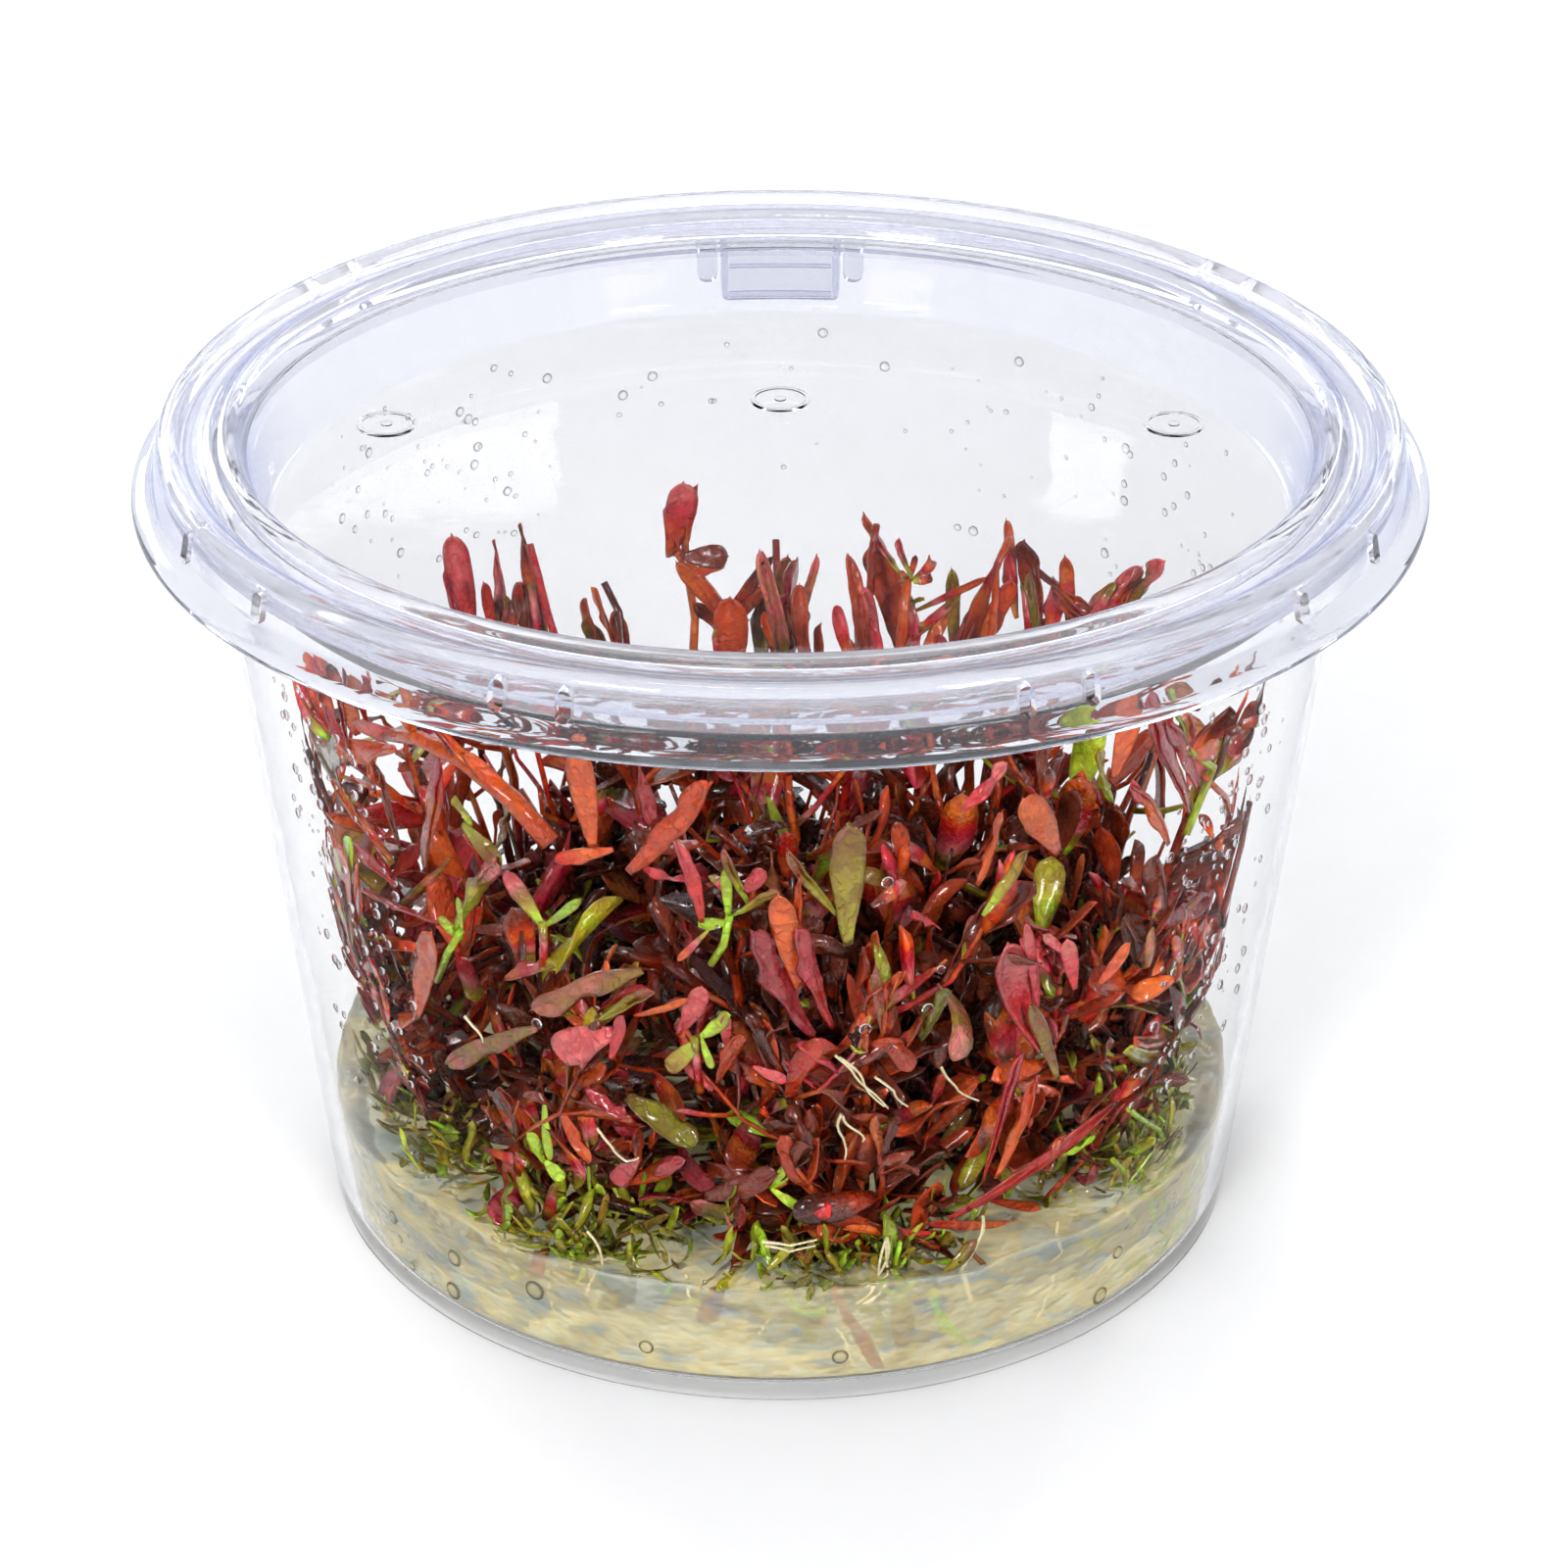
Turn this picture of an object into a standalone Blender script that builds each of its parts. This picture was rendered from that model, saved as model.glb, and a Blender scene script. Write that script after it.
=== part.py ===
"""Tissue culture dwarf rotala: a clear lidded cup, its disc of nutrient gel and 27 plantlets.

World frame: metres, +Z up. The cup stands on z = 0 with its axis on the Z axis, and -Y is its front.
The thumb tab of the lid is at the back, at +Y.
"""
import math

import bmesh
import bpy
from mathutils import Matrix, Vector

MM = 0.001

# Driving dimensions, in millimetres
TURN_STEPS = 48             # flats round every turned piece
GAP = 0.3                   # clearance kept between neighbouring pieces

CUP_FOOT_R = 43.8           # outside radius at the foot
CUP_TOP_R = 52.4            # outside radius just under the mouth
CUP_WALL_TOP_Z = 75.4       # the tapered wall ends here, under the mouth's bead
CUP_MOUTH_Z = 77.2          # top of the mouth's bead
CUP_BEAD_R = 55.4           # outside radius of the mouth's bead
CUP_WALL = 1.2
CUP_FLOOR = 1.6
CUP_CORNER = 1.4            # rounding where the wall meets the flat underside

LID_R = 59.2                # outer edge of the lower flange
LID_TOP_Z = 79.5            # top of both crests of the rim
LID_THICK = 1.0
PANEL_TOP_Z = 70.3          # top face of the recessed panel
PANEL_R = 47.1              # radius of the panel's corner
FLANGE_Z = 74.0             # mid height of the lower flange

MARK_R = 3.0                # round mould marks on the panel
MARK_STEP = 0.25            # how far they stand up
MARK_PLACES = ((0.0, 23.3), (-37.6, 17.3), (37.6, 17.3))

SLOT_WIDTH = 1.4            # small upright slots through the skirt
SLOT_LOW_Z = 75.3
SLOT_HIGH_Z = 78.0
# Degrees from the front, positive towards +X
SLOT_ANGLES = (-24.0, -18.0, 20.6, 26.6, -51.0, 51.0, -65.0, 65.0, -126.0, -132.0, 126.0, 132.0)

TAB_WIDTH = 12.3            # thumb tab that hangs below the flange at the back
TAB_LOW_Z = 67.2
PRONG_WIDTH = 2.0           # a narrow prong at each side of the tab
PRONG_LOW_Z = 69.4
PRONG_OFFSET = 7.6

GEL_TOP_Z = 11.5
GEL_FOOT_Z = CUP_FLOOR + GAP

STEM_WIDTH = 1.3
LEAF_LENGTH = 9.0
LEAF_WIDTH = 2.6
LEAF_TIP_WIDTH = 0.9
LEAF_THICK = 0.6
LEAF_WIDEST = 0.55          # share of the length at which a leaf is widest
LEAF_CLIMBS = tuple(math.radians(climb) for climb in (35.0, 60.0, 15.0, 75.0))  # tried in this order
LEAF_NODE = 0.9             # height of the stretch of stem that carries a pair of leaves
LEVEL_SPACING = 12.5        # stem length between two pairs of leaves
STEM_TWIST = 25.0           # degrees by which each stem is turned on from the last
FOOT_Z = GEL_TOP_Z + GAP
FIELD_R = 35.0              # the feet stand inside this radius
TIP_LIMIT_Z = 62.5
GOLDEN_ANGLE = math.radians(137.508)
PLANTLETS = 27
MIDDLE_TIP_Z = 51.0         # height of the tips in the middle of the tangle
EDGE_DROP = 15.0            # how much lower they are at its edge
HEIGHT_SPREAD = 4.0         # how far they differ from one stem to the next

# Stems that stand out of the tangle: number, foot (x, y) and tip (x, y, z)
TALL_STEMS = {
    1: ((-6.0, 9.0), (-9.8, 18.0, 62.0)),
    4: ((6.0, 12.0), (9.0, 15.0, 60.5)),
    9: ((17.0, 8.0), (21.5, 15.0, 59.5)),
    6: ((-17.0, 10.0), (-24.5, 15.0, 58.5)),
    12: ((-24.0, 14.0), (-31.5, 17.0, 56.0)),
    3: ((-12.0, 2.0), (-16.5, 10.0, 57.0)),
    7: ((0.0, 16.0), (-0.6, 22.0, 56.0)),
    19: ((25.0, 10.0), (34.5, 16.0, 55.0)),
    17: ((-22.0, -4.0), (-43.0, -13.0, 55.0)),
    24: ((33.0, -6.0), (41.0, -12.0, 53.0)),
}


def material(name, colour, roughness, transmission=0.0):
    """A Principled material with one plain finish."""
    made = bpy.data.materials.new(name)
    made.use_nodes = True
    shader = made.node_tree.nodes["Principled BSDF"]
    shader.inputs["Base Color"].default_value = (*colour, 1.0)
    shader.inputs["Roughness"].default_value = roughness
    shader.inputs["Metallic"].default_value = 0.0
    shader.inputs["Transmission Weight"].default_value = transmission
    return made


def collection(name):
    made = bpy.data.collections.new(name)
    bpy.context.scene.collection.children.link(made)
    return made


def link_mesh(name, bm, home, finish):
    """The finished bmesh as a smooth shaded object of that name."""
    mesh = bpy.data.meshes.new(name)
    bm.to_mesh(mesh)
    bm.free()
    mesh.shade_smooth()
    mesh.set_sharp_from_angle(angle=math.radians(35.0))
    mesh.materials.append(finish)
    made = bpy.data.objects.new(name, mesh)
    home.objects.link(made)
    return made


def turned(name, outline, home, finish):
    """A body turned about Z from an outline of (radius, height) points that runs down the outside."""
    bm = bmesh.new()
    points = [bm.verts.new((radius * MM, 0.0, height * MM)) for radius, height in outline]
    for above, below in zip(points, points[1:]):
        bm.edges.new((above, below))
    made = link_mesh(name, bm, home, finish)
    screw = made.modifiers.new("turn", "SCREW")
    screw.steps = TURN_STEPS
    screw.render_steps = TURN_STEPS
    screw.use_merge_vertices = True
    screw.merge_threshold = 0.00001
    screw.use_smooth_shade = True
    return made


def cut(target, cutter, operation):
    """A boolean of the target with a cutter, which is only a guide."""
    cutter.hide_render = True
    cutter.display_type = "WIRE"
    tool = target.modifiers.new(cutter.name, "BOOLEAN")
    tool.operation = operation
    tool.object = cutter
    tool.solver = "EXACT"


def arc_plate(bm, radius, thick, low, high, angle, width, flats=4):
    """A curved plate of even thickness on a circle about Z. Its angle is 0 at +Y and grows towards +X."""
    earlier = set(bm.verts)
    cube = bmesh.ops.create_cube(bm, size=1.0)["verts"]
    edges = {edge for vert in cube for edge in vert.link_edges}
    along = [edge for edge in edges if abs((edge.verts[0].co - edge.verts[1].co).x) > 0.5]
    if flats > 1:
        bmesh.ops.subdivide_edges(bm, edges=along, cuts=flats - 1)
    for vert in set(bm.verts) - earlier:
        turn = math.radians(angle) + vert.co.x * width / radius
        out = radius + vert.co.y * thick
        height = low + (vert.co.z + 0.5) * (high - low)
        vert.co = (math.sin(turn) * out * MM, math.cos(turn) * out * MM, height * MM)


def make_cup(home, finish):
    """The tapered cup: flat underside, rounded foot, straight wall and a bead round the mouth."""
    corner = [
        (CUP_FOOT_R - CUP_CORNER * (1.0 - math.cos(turn)), CUP_CORNER * (1.0 - math.sin(turn)))
        for turn in (0.0, math.radians(45.0), math.radians(90.0))
    ]
    outline = [
        (CUP_TOP_R - CUP_WALL, CUP_MOUTH_Z),
        (CUP_BEAD_R - 0.7, CUP_MOUTH_Z),
        (CUP_BEAD_R, CUP_MOUTH_Z - 0.7),
        (CUP_BEAD_R, CUP_WALL_TOP_Z + 0.4),
        (CUP_BEAD_R - 0.4, CUP_WALL_TOP_Z),
        (CUP_TOP_R, CUP_WALL_TOP_Z),
        *corner,
        (0.0, 0.0),
        (0.0, CUP_FLOOR),
        (CUP_FOOT_R - CUP_WALL - 1.2, CUP_FLOOR),
        (CUP_FOOT_R - CUP_WALL, CUP_FLOOR + 1.0),
        (CUP_TOP_R - CUP_WALL, CUP_MOUTH_Z),
    ]
    return turned("cup", outline, home, finish)


def lid_outline():
    """Section of the lid: panel, plug wall, double crested rim, skirt and lower flange."""
    crest_in = PANEL_R + 3.6
    crest_out = PANEL_R + 8.1
    groove = (crest_in + crest_out) / 2.0
    over = [
        (0.0, PANEL_TOP_Z),
        (PANEL_R - 0.6, PANEL_TOP_Z),
        (PANEL_R + 0.2, PANEL_TOP_Z + 0.5),
        (crest_in - 2.0, LID_TOP_Z - 1.4),
        (crest_in - 1.0, LID_TOP_Z - 0.2),
        (crest_in, LID_TOP_Z),
        (groove - 0.8, LID_TOP_Z - 0.8),
        (groove + 0.8, LID_TOP_Z - 0.8),
        (crest_out, LID_TOP_Z),
        (crest_out + 1.1, LID_TOP_Z - 0.4),
        (crest_out + 1.7, LID_TOP_Z - 1.3),
        (crest_out + 2.3, FLANGE_Z + 1.1),
        (LID_R - 0.3, FLANGE_Z + 0.5),
        (LID_R, FLANGE_Z),
        (LID_R - 0.3, FLANGE_Z - 0.7),
    ]
    under = [
        (LID_R - 1.1, FLANGE_Z - 0.9),
        (crest_out + 1.5, FLANGE_Z + 0.2),
        (crest_out + 0.8, LID_TOP_Z - 1.5),
        (groove, LID_TOP_Z - 0.8 - LID_THICK),
        (crest_in - 0.2, LID_TOP_Z - 1.3),
        (crest_in - 0.9, LID_TOP_Z - 3.0),
        (crest_in + 0.1, LID_TOP_Z - 3.8),
        (crest_in - 1.2, LID_TOP_Z - 5.0),
        (PANEL_R + 1.3, PANEL_TOP_Z + 0.2),
        (PANEL_R + 0.2, PANEL_TOP_Z - LID_THICK),
        (0.0, PANEL_TOP_Z - LID_THICK),
    ]
    return over + under


def make_lid(home, guides, finish):
    """The snap lid with its slots, mould marks, thumb tab and prongs, all one moulding."""
    lid = turned("lid", lid_outline(), home, finish)
    bm = bmesh.new()
    skirt_r = LID_R - 2.4
    through = 3.0
    for angle in SLOT_ANGLES:
        arc_plate(bm, skirt_r, through, SLOT_LOW_Z, SLOT_HIGH_Z, 180.0 - angle, SLOT_WIDTH, flats=1)
    cut(lid, link_mesh("lid slots", bm, guides, finish), "DIFFERENCE")
    bm = bmesh.new()
    for x, y in MARK_PLACES:
        bmesh.ops.create_cone(
            bm, cap_ends=True, segments=16, radius1=MARK_R * MM, radius2=MARK_R * MM,
            depth=2.0 * MARK_STEP * MM, matrix=Matrix.Translation((x * MM, y * MM, PANEL_TOP_Z * MM)),
        )
    cut(lid, link_mesh("lid marks", bm, guides, finish), "UNION")
    bm = bmesh.new()
    hang = LID_R - 1.5
    low_join = FLANGE_Z - 0.2
    arc_plate(bm, hang, LID_THICK, TAB_LOW_Z, low_join, 0.0, TAB_WIDTH)
    for side in (-1.0, 1.0):
        turn = side * math.degrees(PRONG_OFFSET / hang)
        arc_plate(bm, hang, LID_THICK, PRONG_LOW_Z, low_join, turn, PRONG_WIDTH, flats=1)
    cut(lid, link_mesh("lid tab", bm, guides, finish), "UNION")
    return lid


def make_gel(home, finish):
    """The set gel: a disc with the cup's taper and a slight meniscus at its edge."""
    taper = (CUP_TOP_R - CUP_FOOT_R) / CUP_WALL_TOP_Z
    side_low = CUP_FOOT_R - CUP_WALL - 2.0 * GAP
    side_high = side_low + taper * GEL_TOP_Z
    outline = [
        (0.0, GEL_TOP_Z),
        (side_high - 2.0, GEL_TOP_Z),
        (side_high, GEL_TOP_Z + 0.5),
        (side_low, GEL_FOOT_Z + 1.4),
        (side_low - 1.4, GEL_FOOT_Z),
        (0.0, GEL_FOOT_Z),
    ]
    return turned("gel", outline, home, finish)


def stem_ends(number):
    """Foot and tip of a plantlet, from the list of tall stems or from the planting spiral."""
    if number in TALL_STEMS:
        (foot_x, foot_y), tip = TALL_STEMS[number]
        return Vector((foot_x, foot_y, FOOT_Z)), Vector(tip)
    turn = number * GOLDEN_ANGLE
    out = FIELD_R * math.sqrt((number + 0.5) / PLANTLETS)
    side = Vector((math.cos(turn), math.sin(turn), 0.0))
    height = MIDDLE_TIP_Z - EDGE_DROP * (out / FIELD_R) ** 2 + HEIGHT_SPREAD * math.sin(3.1 * number)
    tip = side * (out * 1.08 + 2.0) + Vector((0.0, 0.0, height))
    return side * out + Vector((0.0, 0.0, FOOT_Z)), tip


def stem_point(foot, tip, part):
    """A point on the stem, which rises first and leans towards its tip higher up."""
    bend = Vector((foot.x * 0.75 + tip.x * 0.25, foot.y * 0.75 + tip.y * 0.25, foot.z * 0.4 + tip.z * 0.6))
    return foot * (1.0 - part) ** 2 + bend * (2.0 * part * (1.0 - part)) + tip * part ** 2


def inner_radius(height):
    """Radius of the cup's inner wall at a height."""
    return CUP_FOOT_R - CUP_WALL + (CUP_TOP_R - CUP_FOOT_R) * height / CUP_WALL_TOP_Z


def leaf_fits(start, reach, own, taken):
    """True if a leaf clears the wall, the gel, the headspace and every other plantlet."""
    for part in (0.25, 0.5, 0.75, 1.0):
        spot = start + reach * part
        room = LEAF_WIDTH / 2.0 if part < 1.0 else LEAF_TIP_WIDTH / 2.0
        if spot.z < FOOT_Z + room or spot.z > TIP_LIMIT_Z:
            return False
        if math.hypot(spot.x, spot.y) > inner_radius(spot.z) - room - GAP:
            return False
        for owner, place, radius in taken:
            if owner != own and (place - spot).length < radius + room + GAP:
                return False
    return True


def extrude_to(bm, face, centre, across, deep):
    """Extrudes one face and lays its four corners out as a flat rectangle round a centre."""
    middle = face.calc_center_median()
    end = bmesh.ops.extrude_discrete_faces(bm, faces=[face])["faces"][0]
    for vert in end.verts:
        offset = vert.co - middle
        side = math.copysign(1.0, offset.dot(across))
        lift = math.copysign(1.0, offset.dot(deep))
        vert.co = centre + across * side + deep * lift
    return end


def add_leaf(bm, face, reach):
    """A flat leaf drawn out of one side of the stem: first to its widest part, then to its tip."""
    start = face.calc_center_median()
    across = reach.cross(Vector((0.0, 0.0, 1.0))).normalized() * MM / 2.0
    deep = across.cross(reach).normalized() * LEAF_THICK * MM / 2.0
    blade = extrude_to(bm, face, start + reach * LEAF_WIDEST, across * LEAF_WIDTH, deep)
    extrude_to(bm, blade, start + reach, across * LEAF_TIP_WIDTH, deep * 0.7)


def draw_stem(bm, number):
    """Draws a square stem up along its path. Returns the side faces of each stretch that bears leaves."""
    foot, tip = stem_ends(number)
    length = (tip - foot).length
    levels = max(2, round(length / LEVEL_SPACING))
    half_diagonal = STEM_WIDTH * MM / math.sqrt(2.0)
    stand = Matrix.Translation((foot + Vector((0.0, 0.0, LEAF_NODE / 2.0))) * MM)
    bmesh.ops.create_cone(
        bm, cap_ends=True, segments=4, radius1=half_diagonal, radius2=half_diagonal, depth=LEAF_NODE * MM,
        matrix=stand @ Matrix.Rotation(math.radians(STEM_TWIST * number), 4, "Z"),
    )
    top = max(bm.faces, key=lambda face: face.calc_center_median().z)
    bearing = []
    for level in range(1, levels + 1):
        for drop in (LEAF_NODE, 0.0):
            before = top.calc_center_median()
            centre = stem_point(foot, tip, level / levels - drop / length) * MM
            top = bmesh.ops.extrude_discrete_faces(bm, faces=[top])["faces"][0]
            bmesh.ops.translate(bm, verts=top.verts[:], vec=centre - before)
        bearing.append([face for edge in top.edges for face in edge.link_faces if face is not top])
    bmesh.ops.scale(bm, verts=top.verts[:], vec=(0.4, 0.4, 0.4), space=Matrix.Translation(-centre))
    return bearing


def plantlet_mesh(number, taken):
    """One plantlet: its stem, and a leaf from two opposite sides of it at each level where one fits."""
    bm = bmesh.new()
    for level, sides in enumerate(draw_stem(bm, number)):
        facing = max(sides, key=lambda face: -face.normal.dot(sides[0].normal))
        pair = (sides[0], facing)
        if level % 2:
            pair = tuple(face for face in sides if face not in pair)
        for face in pair:
            face.normal_update()
            flat = Vector((face.normal.x, face.normal.y, 0.0)).normalized()
            start = face.calc_center_median() / MM
            for climb in LEAF_CLIMBS:
                reach = (flat * math.cos(climb) + Vector((0.0, 0.0, math.sin(climb)))) * LEAF_LENGTH
                if leaf_fits(start, reach, number, taken):
                    spots = [start + reach * part for part in (0.2, 0.4, 0.6, 0.8, 1.0)]
                    taken.extend((number, spot, LEAF_WIDTH / 2.0) for spot in spots)
                    add_leaf(bm, face, reach * MM)
                    break
    bmesh.ops.recalc_face_normals(bm, faces=bm.faces[:])
    return bm


def stem_places(number):
    """Places along a stem, for the test that leaves keep clear of it."""
    foot, tip = stem_ends(number)
    return [(number, stem_point(foot, tip, step / 24.0), STEM_WIDTH * 0.7) for step in range(25)]


def main():
    for old in list(bpy.data.objects):
        bpy.data.objects.remove(old, do_unlink=True)
    home = collection("tissue culture dwarf rotala")
    guides = collection("cutters")
    clear = material("clear plastic", (0.93, 0.95, 1.0), 0.05, transmission=1.0)
    jelly = material("nutrient gel", (0.86, 0.80, 0.58), 0.15, transmission=0.8)
    make_cup(home, clear)
    make_lid(home, guides, clear.copy())
    make_gel(home, jelly)
    taken = [place for number in range(PLANTLETS) for place in stem_places(number)]
    for number in range(PLANTLETS):
        leaf = material("leaf %02d" % (number + 1), (0.42, 0.06 + 0.004 * (number % 5), 0.05), 0.4)
        link_mesh("plantlet_%02d" % (number + 1), plantlet_mesh(number, taken), home, leaf)


main()
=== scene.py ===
# %% [markdown]
# # A cup of tissue-cultured dwarf rotala
# The object is a clear plastic cup with a snap lid, a disc of nutrient gel at its foot and a
# tangle of small red water plants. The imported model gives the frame: every piece made here is in
# metres, stands where its solid stands, and rides on the one body of the model.

# %% Load the frame
import math
import random

import bmesh
import bpy
from mathutils import Matrix, Vector, noise


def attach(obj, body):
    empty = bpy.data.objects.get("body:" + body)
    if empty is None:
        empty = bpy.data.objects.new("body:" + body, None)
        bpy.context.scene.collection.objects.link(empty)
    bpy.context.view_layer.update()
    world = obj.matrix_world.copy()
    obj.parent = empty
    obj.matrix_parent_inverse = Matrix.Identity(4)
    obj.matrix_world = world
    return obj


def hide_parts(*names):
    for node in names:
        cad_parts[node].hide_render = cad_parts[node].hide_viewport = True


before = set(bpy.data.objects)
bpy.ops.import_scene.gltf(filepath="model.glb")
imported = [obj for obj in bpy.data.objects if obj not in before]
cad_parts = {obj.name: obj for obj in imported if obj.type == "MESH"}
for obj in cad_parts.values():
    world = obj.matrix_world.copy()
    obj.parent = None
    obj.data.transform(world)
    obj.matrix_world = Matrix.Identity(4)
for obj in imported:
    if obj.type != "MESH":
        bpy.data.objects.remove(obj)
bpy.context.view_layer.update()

MM = 0.001

# %% [markdown]
# ## Camera
# The photograph was taken with a long lens from a little above. Its angle and distance were found
# by fitting the lid's rings and the cup's foot. A lens in millimetres comes from the focal length
# in picture widths times the width of the sensor, which is 36 mm here.

# %% Camera
PHOTO_WIDTH = 1600
PHOTO_HEIGHT = 1600
SENSOR_WIDTH = 36.0
FOCAL_PIXELS = 4730.0
AXIS_PIXEL = 796.2
CAMERA_PLACE = Vector((0.0, -389.6, 248.1)) * MM
CAMERA_PITCH = math.radians(28.03)

lens = bpy.data.cameras.new("camera")
lens.sensor_width = SENSOR_WIDTH
lens.lens = FOCAL_PIXELS / PHOTO_WIDTH * SENSOR_WIDTH
lens.shift_x = (PHOTO_WIDTH / 2 - AXIS_PIXEL) / PHOTO_WIDTH
lens.clip_start = 0.01
camera = bpy.data.objects.new("camera", lens)
camera.location = CAMERA_PLACE
camera.rotation_euler = (math.pi / 2 - CAMERA_PITCH, 0.0, 0.0)
bpy.context.scene.collection.objects.link(camera)
bpy.context.scene.camera = camera
print("lens", round(lens.lens, 1), "mm")

# %% [markdown]
# ## Helpers for materials
# A material is a small tree of nodes round one Principled shader. These helpers place nodes and
# join them, so that the sky and each finish below read as short lists of what they are made of.

# %% Material helpers
def new_material(name, **values):
    """A material with a Principled shader whose named sockets get plain values."""
    made = bpy.data.materials.new(name)
    made.use_nodes = True
    shader = made.node_tree.nodes["Principled BSDF"]
    for socket, value in values.items():
        shader.inputs[socket.replace("_", " ")].default_value = value
    return made, made.node_tree, shader


def add_node(tree, kind, **values):
    """A node of a kind. A value that names a socket sets it, and any other sets a property."""
    node = tree.nodes.new("ShaderNode" + kind)
    for name, value in values.items():
        socket = node.inputs.get(name.replace("_", " "))
        if socket is None:
            setattr(node, name, value)
        else:
            socket.default_value = value
    return node


def join(tree, source, target):
    """A link from an output socket to an input socket."""
    tree.links.new(source, target)


def bands(tree, source, stops, smooth=True):
    """A colour ramp with stops of (position, colour or grey)."""
    ramp = tree.nodes.new("ShaderNodeValToRGB")
    ramp.color_ramp.interpolation = "EASE" if smooth else "LINEAR"
    elements = ramp.color_ramp.elements
    while len(elements) < len(stops):
        elements.new(0.5)
    for element, (position, colour) in zip(elements, stops):
        channels = colour if isinstance(colour, tuple) else (colour,) * 3
        element.position = position
        element.color = (*channels, 1.0)
    join(tree, source, ramp.inputs["Fac"])
    return ramp.outputs["Color"]


def blend(tree, mode, colour, other, amount):
    """Mixes a colour socket with another or with a plain colour, by a number or a socket."""
    node = add_node(tree, "Mix", data_type="RGBA", blend_type=mode)
    join(tree, colour, node.inputs[6])
    if isinstance(other, tuple):
        node.inputs[7].default_value = (*other, 1.0)
    else:
        join(tree, other, node.inputs[7])
    if isinstance(amount, float):
        node.inputs[0].default_value = amount
    else:
        join(tree, amount, node.inputs[0])
    return node.outputs[2]


def scaled(tree, source, amount):
    """A value socket times a plain number."""
    node = add_node(tree, "Math", operation="MULTIPLY")
    join(tree, source, node.inputs[0])
    node.inputs[1].default_value = amount
    return node.outputs[0]


def bump(tree, shader, height, strength, distance):
    """Feeds a height into the shader's normal."""
    node = add_node(tree, "Bump", Strength=strength, Distance=distance)
    join(tree, height, node.inputs["Height"])
    join(tree, node.outputs["Normal"], shader.inputs["Normal"])


def let_light_through(tree, shader, colour):
    """Shadow rays pass straight on, so that what stands inside clear plastic gets its light."""
    path = add_node(tree, "LightPath")
    clear = add_node(tree, "BsdfTransparent", Color=(*colour, 1.0))
    mix = add_node(tree, "MixShader")
    join(tree, path.outputs["Is Shadow Ray"], mix.inputs[0])
    join(tree, shader.outputs[0], mix.inputs[1])
    join(tree, clear.outputs[0], mix.inputs[2])
    join(tree, mix.outputs[0], tree.nodes["Material Output"].inputs["Surface"])


print("material helpers ready")

# %% [markdown]
# ## Studio
# Clear plastic has no colour of its own. It is drawn by what it bends and mirrors, so the room
# needs both white and grey: a pale horizon and a grey top, half as bright on the camera's side,
# so that the leaves mirror little of it. Two lamps in front and two behind give leaves and rim
# their highlights, one hangs overhead, and one lights the floor behind without being mirrored.
# The last two are small boxes that are there only to be mirrored in the lid.

# %% Studio light
SKY_BANDS = (
    (0.00, (0.86, 0.87, 0.89)),
    (0.15, (0.76, 0.78, 0.83)),
    (0.45, (0.54, 0.56, 0.61)),
    (0.70, (0.38, 0.39, 0.43)),
    (0.88, (0.29, 0.29, 0.31)),
    (1.00, (0.27, 0.27, 0.27)),
)
CAMERA_SIDE = ((0.30, (0.50, 0.50, 0.51)), (0.60, (1.0, 1.0, 1.0)))
UNMIRRORED = "lamp for the floor behind"
LAMPS = (
    ("panel overhead", (-0.08, -0.10, 0.86), (0.0, 0.0, 0.03), 0.22, 0.20, 1.9),
    ("panel behind the left", (-0.42, 0.80, 0.42), (0.0, 0.0, 0.06), 0.30, 0.26, 2.2),
    ("strip behind the right", (0.36, 0.80, 0.40), (0.0, 0.0, 0.06), 0.07, 0.34, 1.0),
    ("lamp in front on the left", (-0.45, -0.85, 0.44), (0.0, 0.0, 0.02), 0.26, 0.26, 8.3),
    ("lamp in front on the right", (0.52, -0.78, 0.36), (0.0, 0.0, 0.02), 0.22, 0.22, 6.7),
    (UNMIRRORED, (0.0, 1.10, 0.75), (0.0, 0.90, 0.0), 0.70, 0.30, 3.2),
    ("box mirrored in the lid on the left", (-0.13, 0.84, 0.425), (0.0, 0.0, 0.07), 0.13, 0.06, 0.055),
    ("strip mirrored in the lid on the right", (0.089, 0.84, 0.428), (0.0, 0.0, 0.07), 0.022, 0.055, 0.010),
)


def add_sky():
    """The light of the room, in bands by height and dimmer on the camera's side."""
    world = bpy.data.worlds.new("studio")
    bpy.context.scene.world = world
    world.use_nodes = True
    tree = world.node_tree
    place = add_node(tree, "TexCoord")
    split = add_node(tree, "SeparateXYZ")
    depth = add_node(tree, "MapRange", From_Min=-1.0)
    join(tree, place.outputs["Generated"], split.inputs[0])
    join(tree, split.outputs["Y"], depth.inputs["Value"])
    sky = bands(tree, split.outputs["Z"], SKY_BANDS, smooth=False)
    side = bands(tree, depth.outputs["Result"], CAMERA_SIDE, smooth=False)
    join(tree, blend(tree, "MULTIPLY", sky, side, 1.0), tree.nodes["Background"].inputs["Color"])


def add_lamp(name, place, target, width, height, power):
    """A soft light panel at a place, turned to a target."""
    light = bpy.data.lights.new(name, "AREA")
    light.shape = "RECTANGLE"
    light.size = width
    light.size_y = height
    light.energy = power
    lamp = bpy.data.objects.new(name, light)
    lamp.location = place
    lamp.visible_glossy = name != UNMIRRORED
    lamp.rotation_euler = (Vector(target) - Vector(place)).to_track_quat("-Z", "Y").to_euler()
    bpy.context.scene.collection.objects.link(lamp)


add_sky()
for lamp_row in LAMPS:
    add_lamp(*lamp_row)
print("studio with", len(SKY_BANDS), "bands of sky and", len(LAMPS), "lamps")

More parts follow.
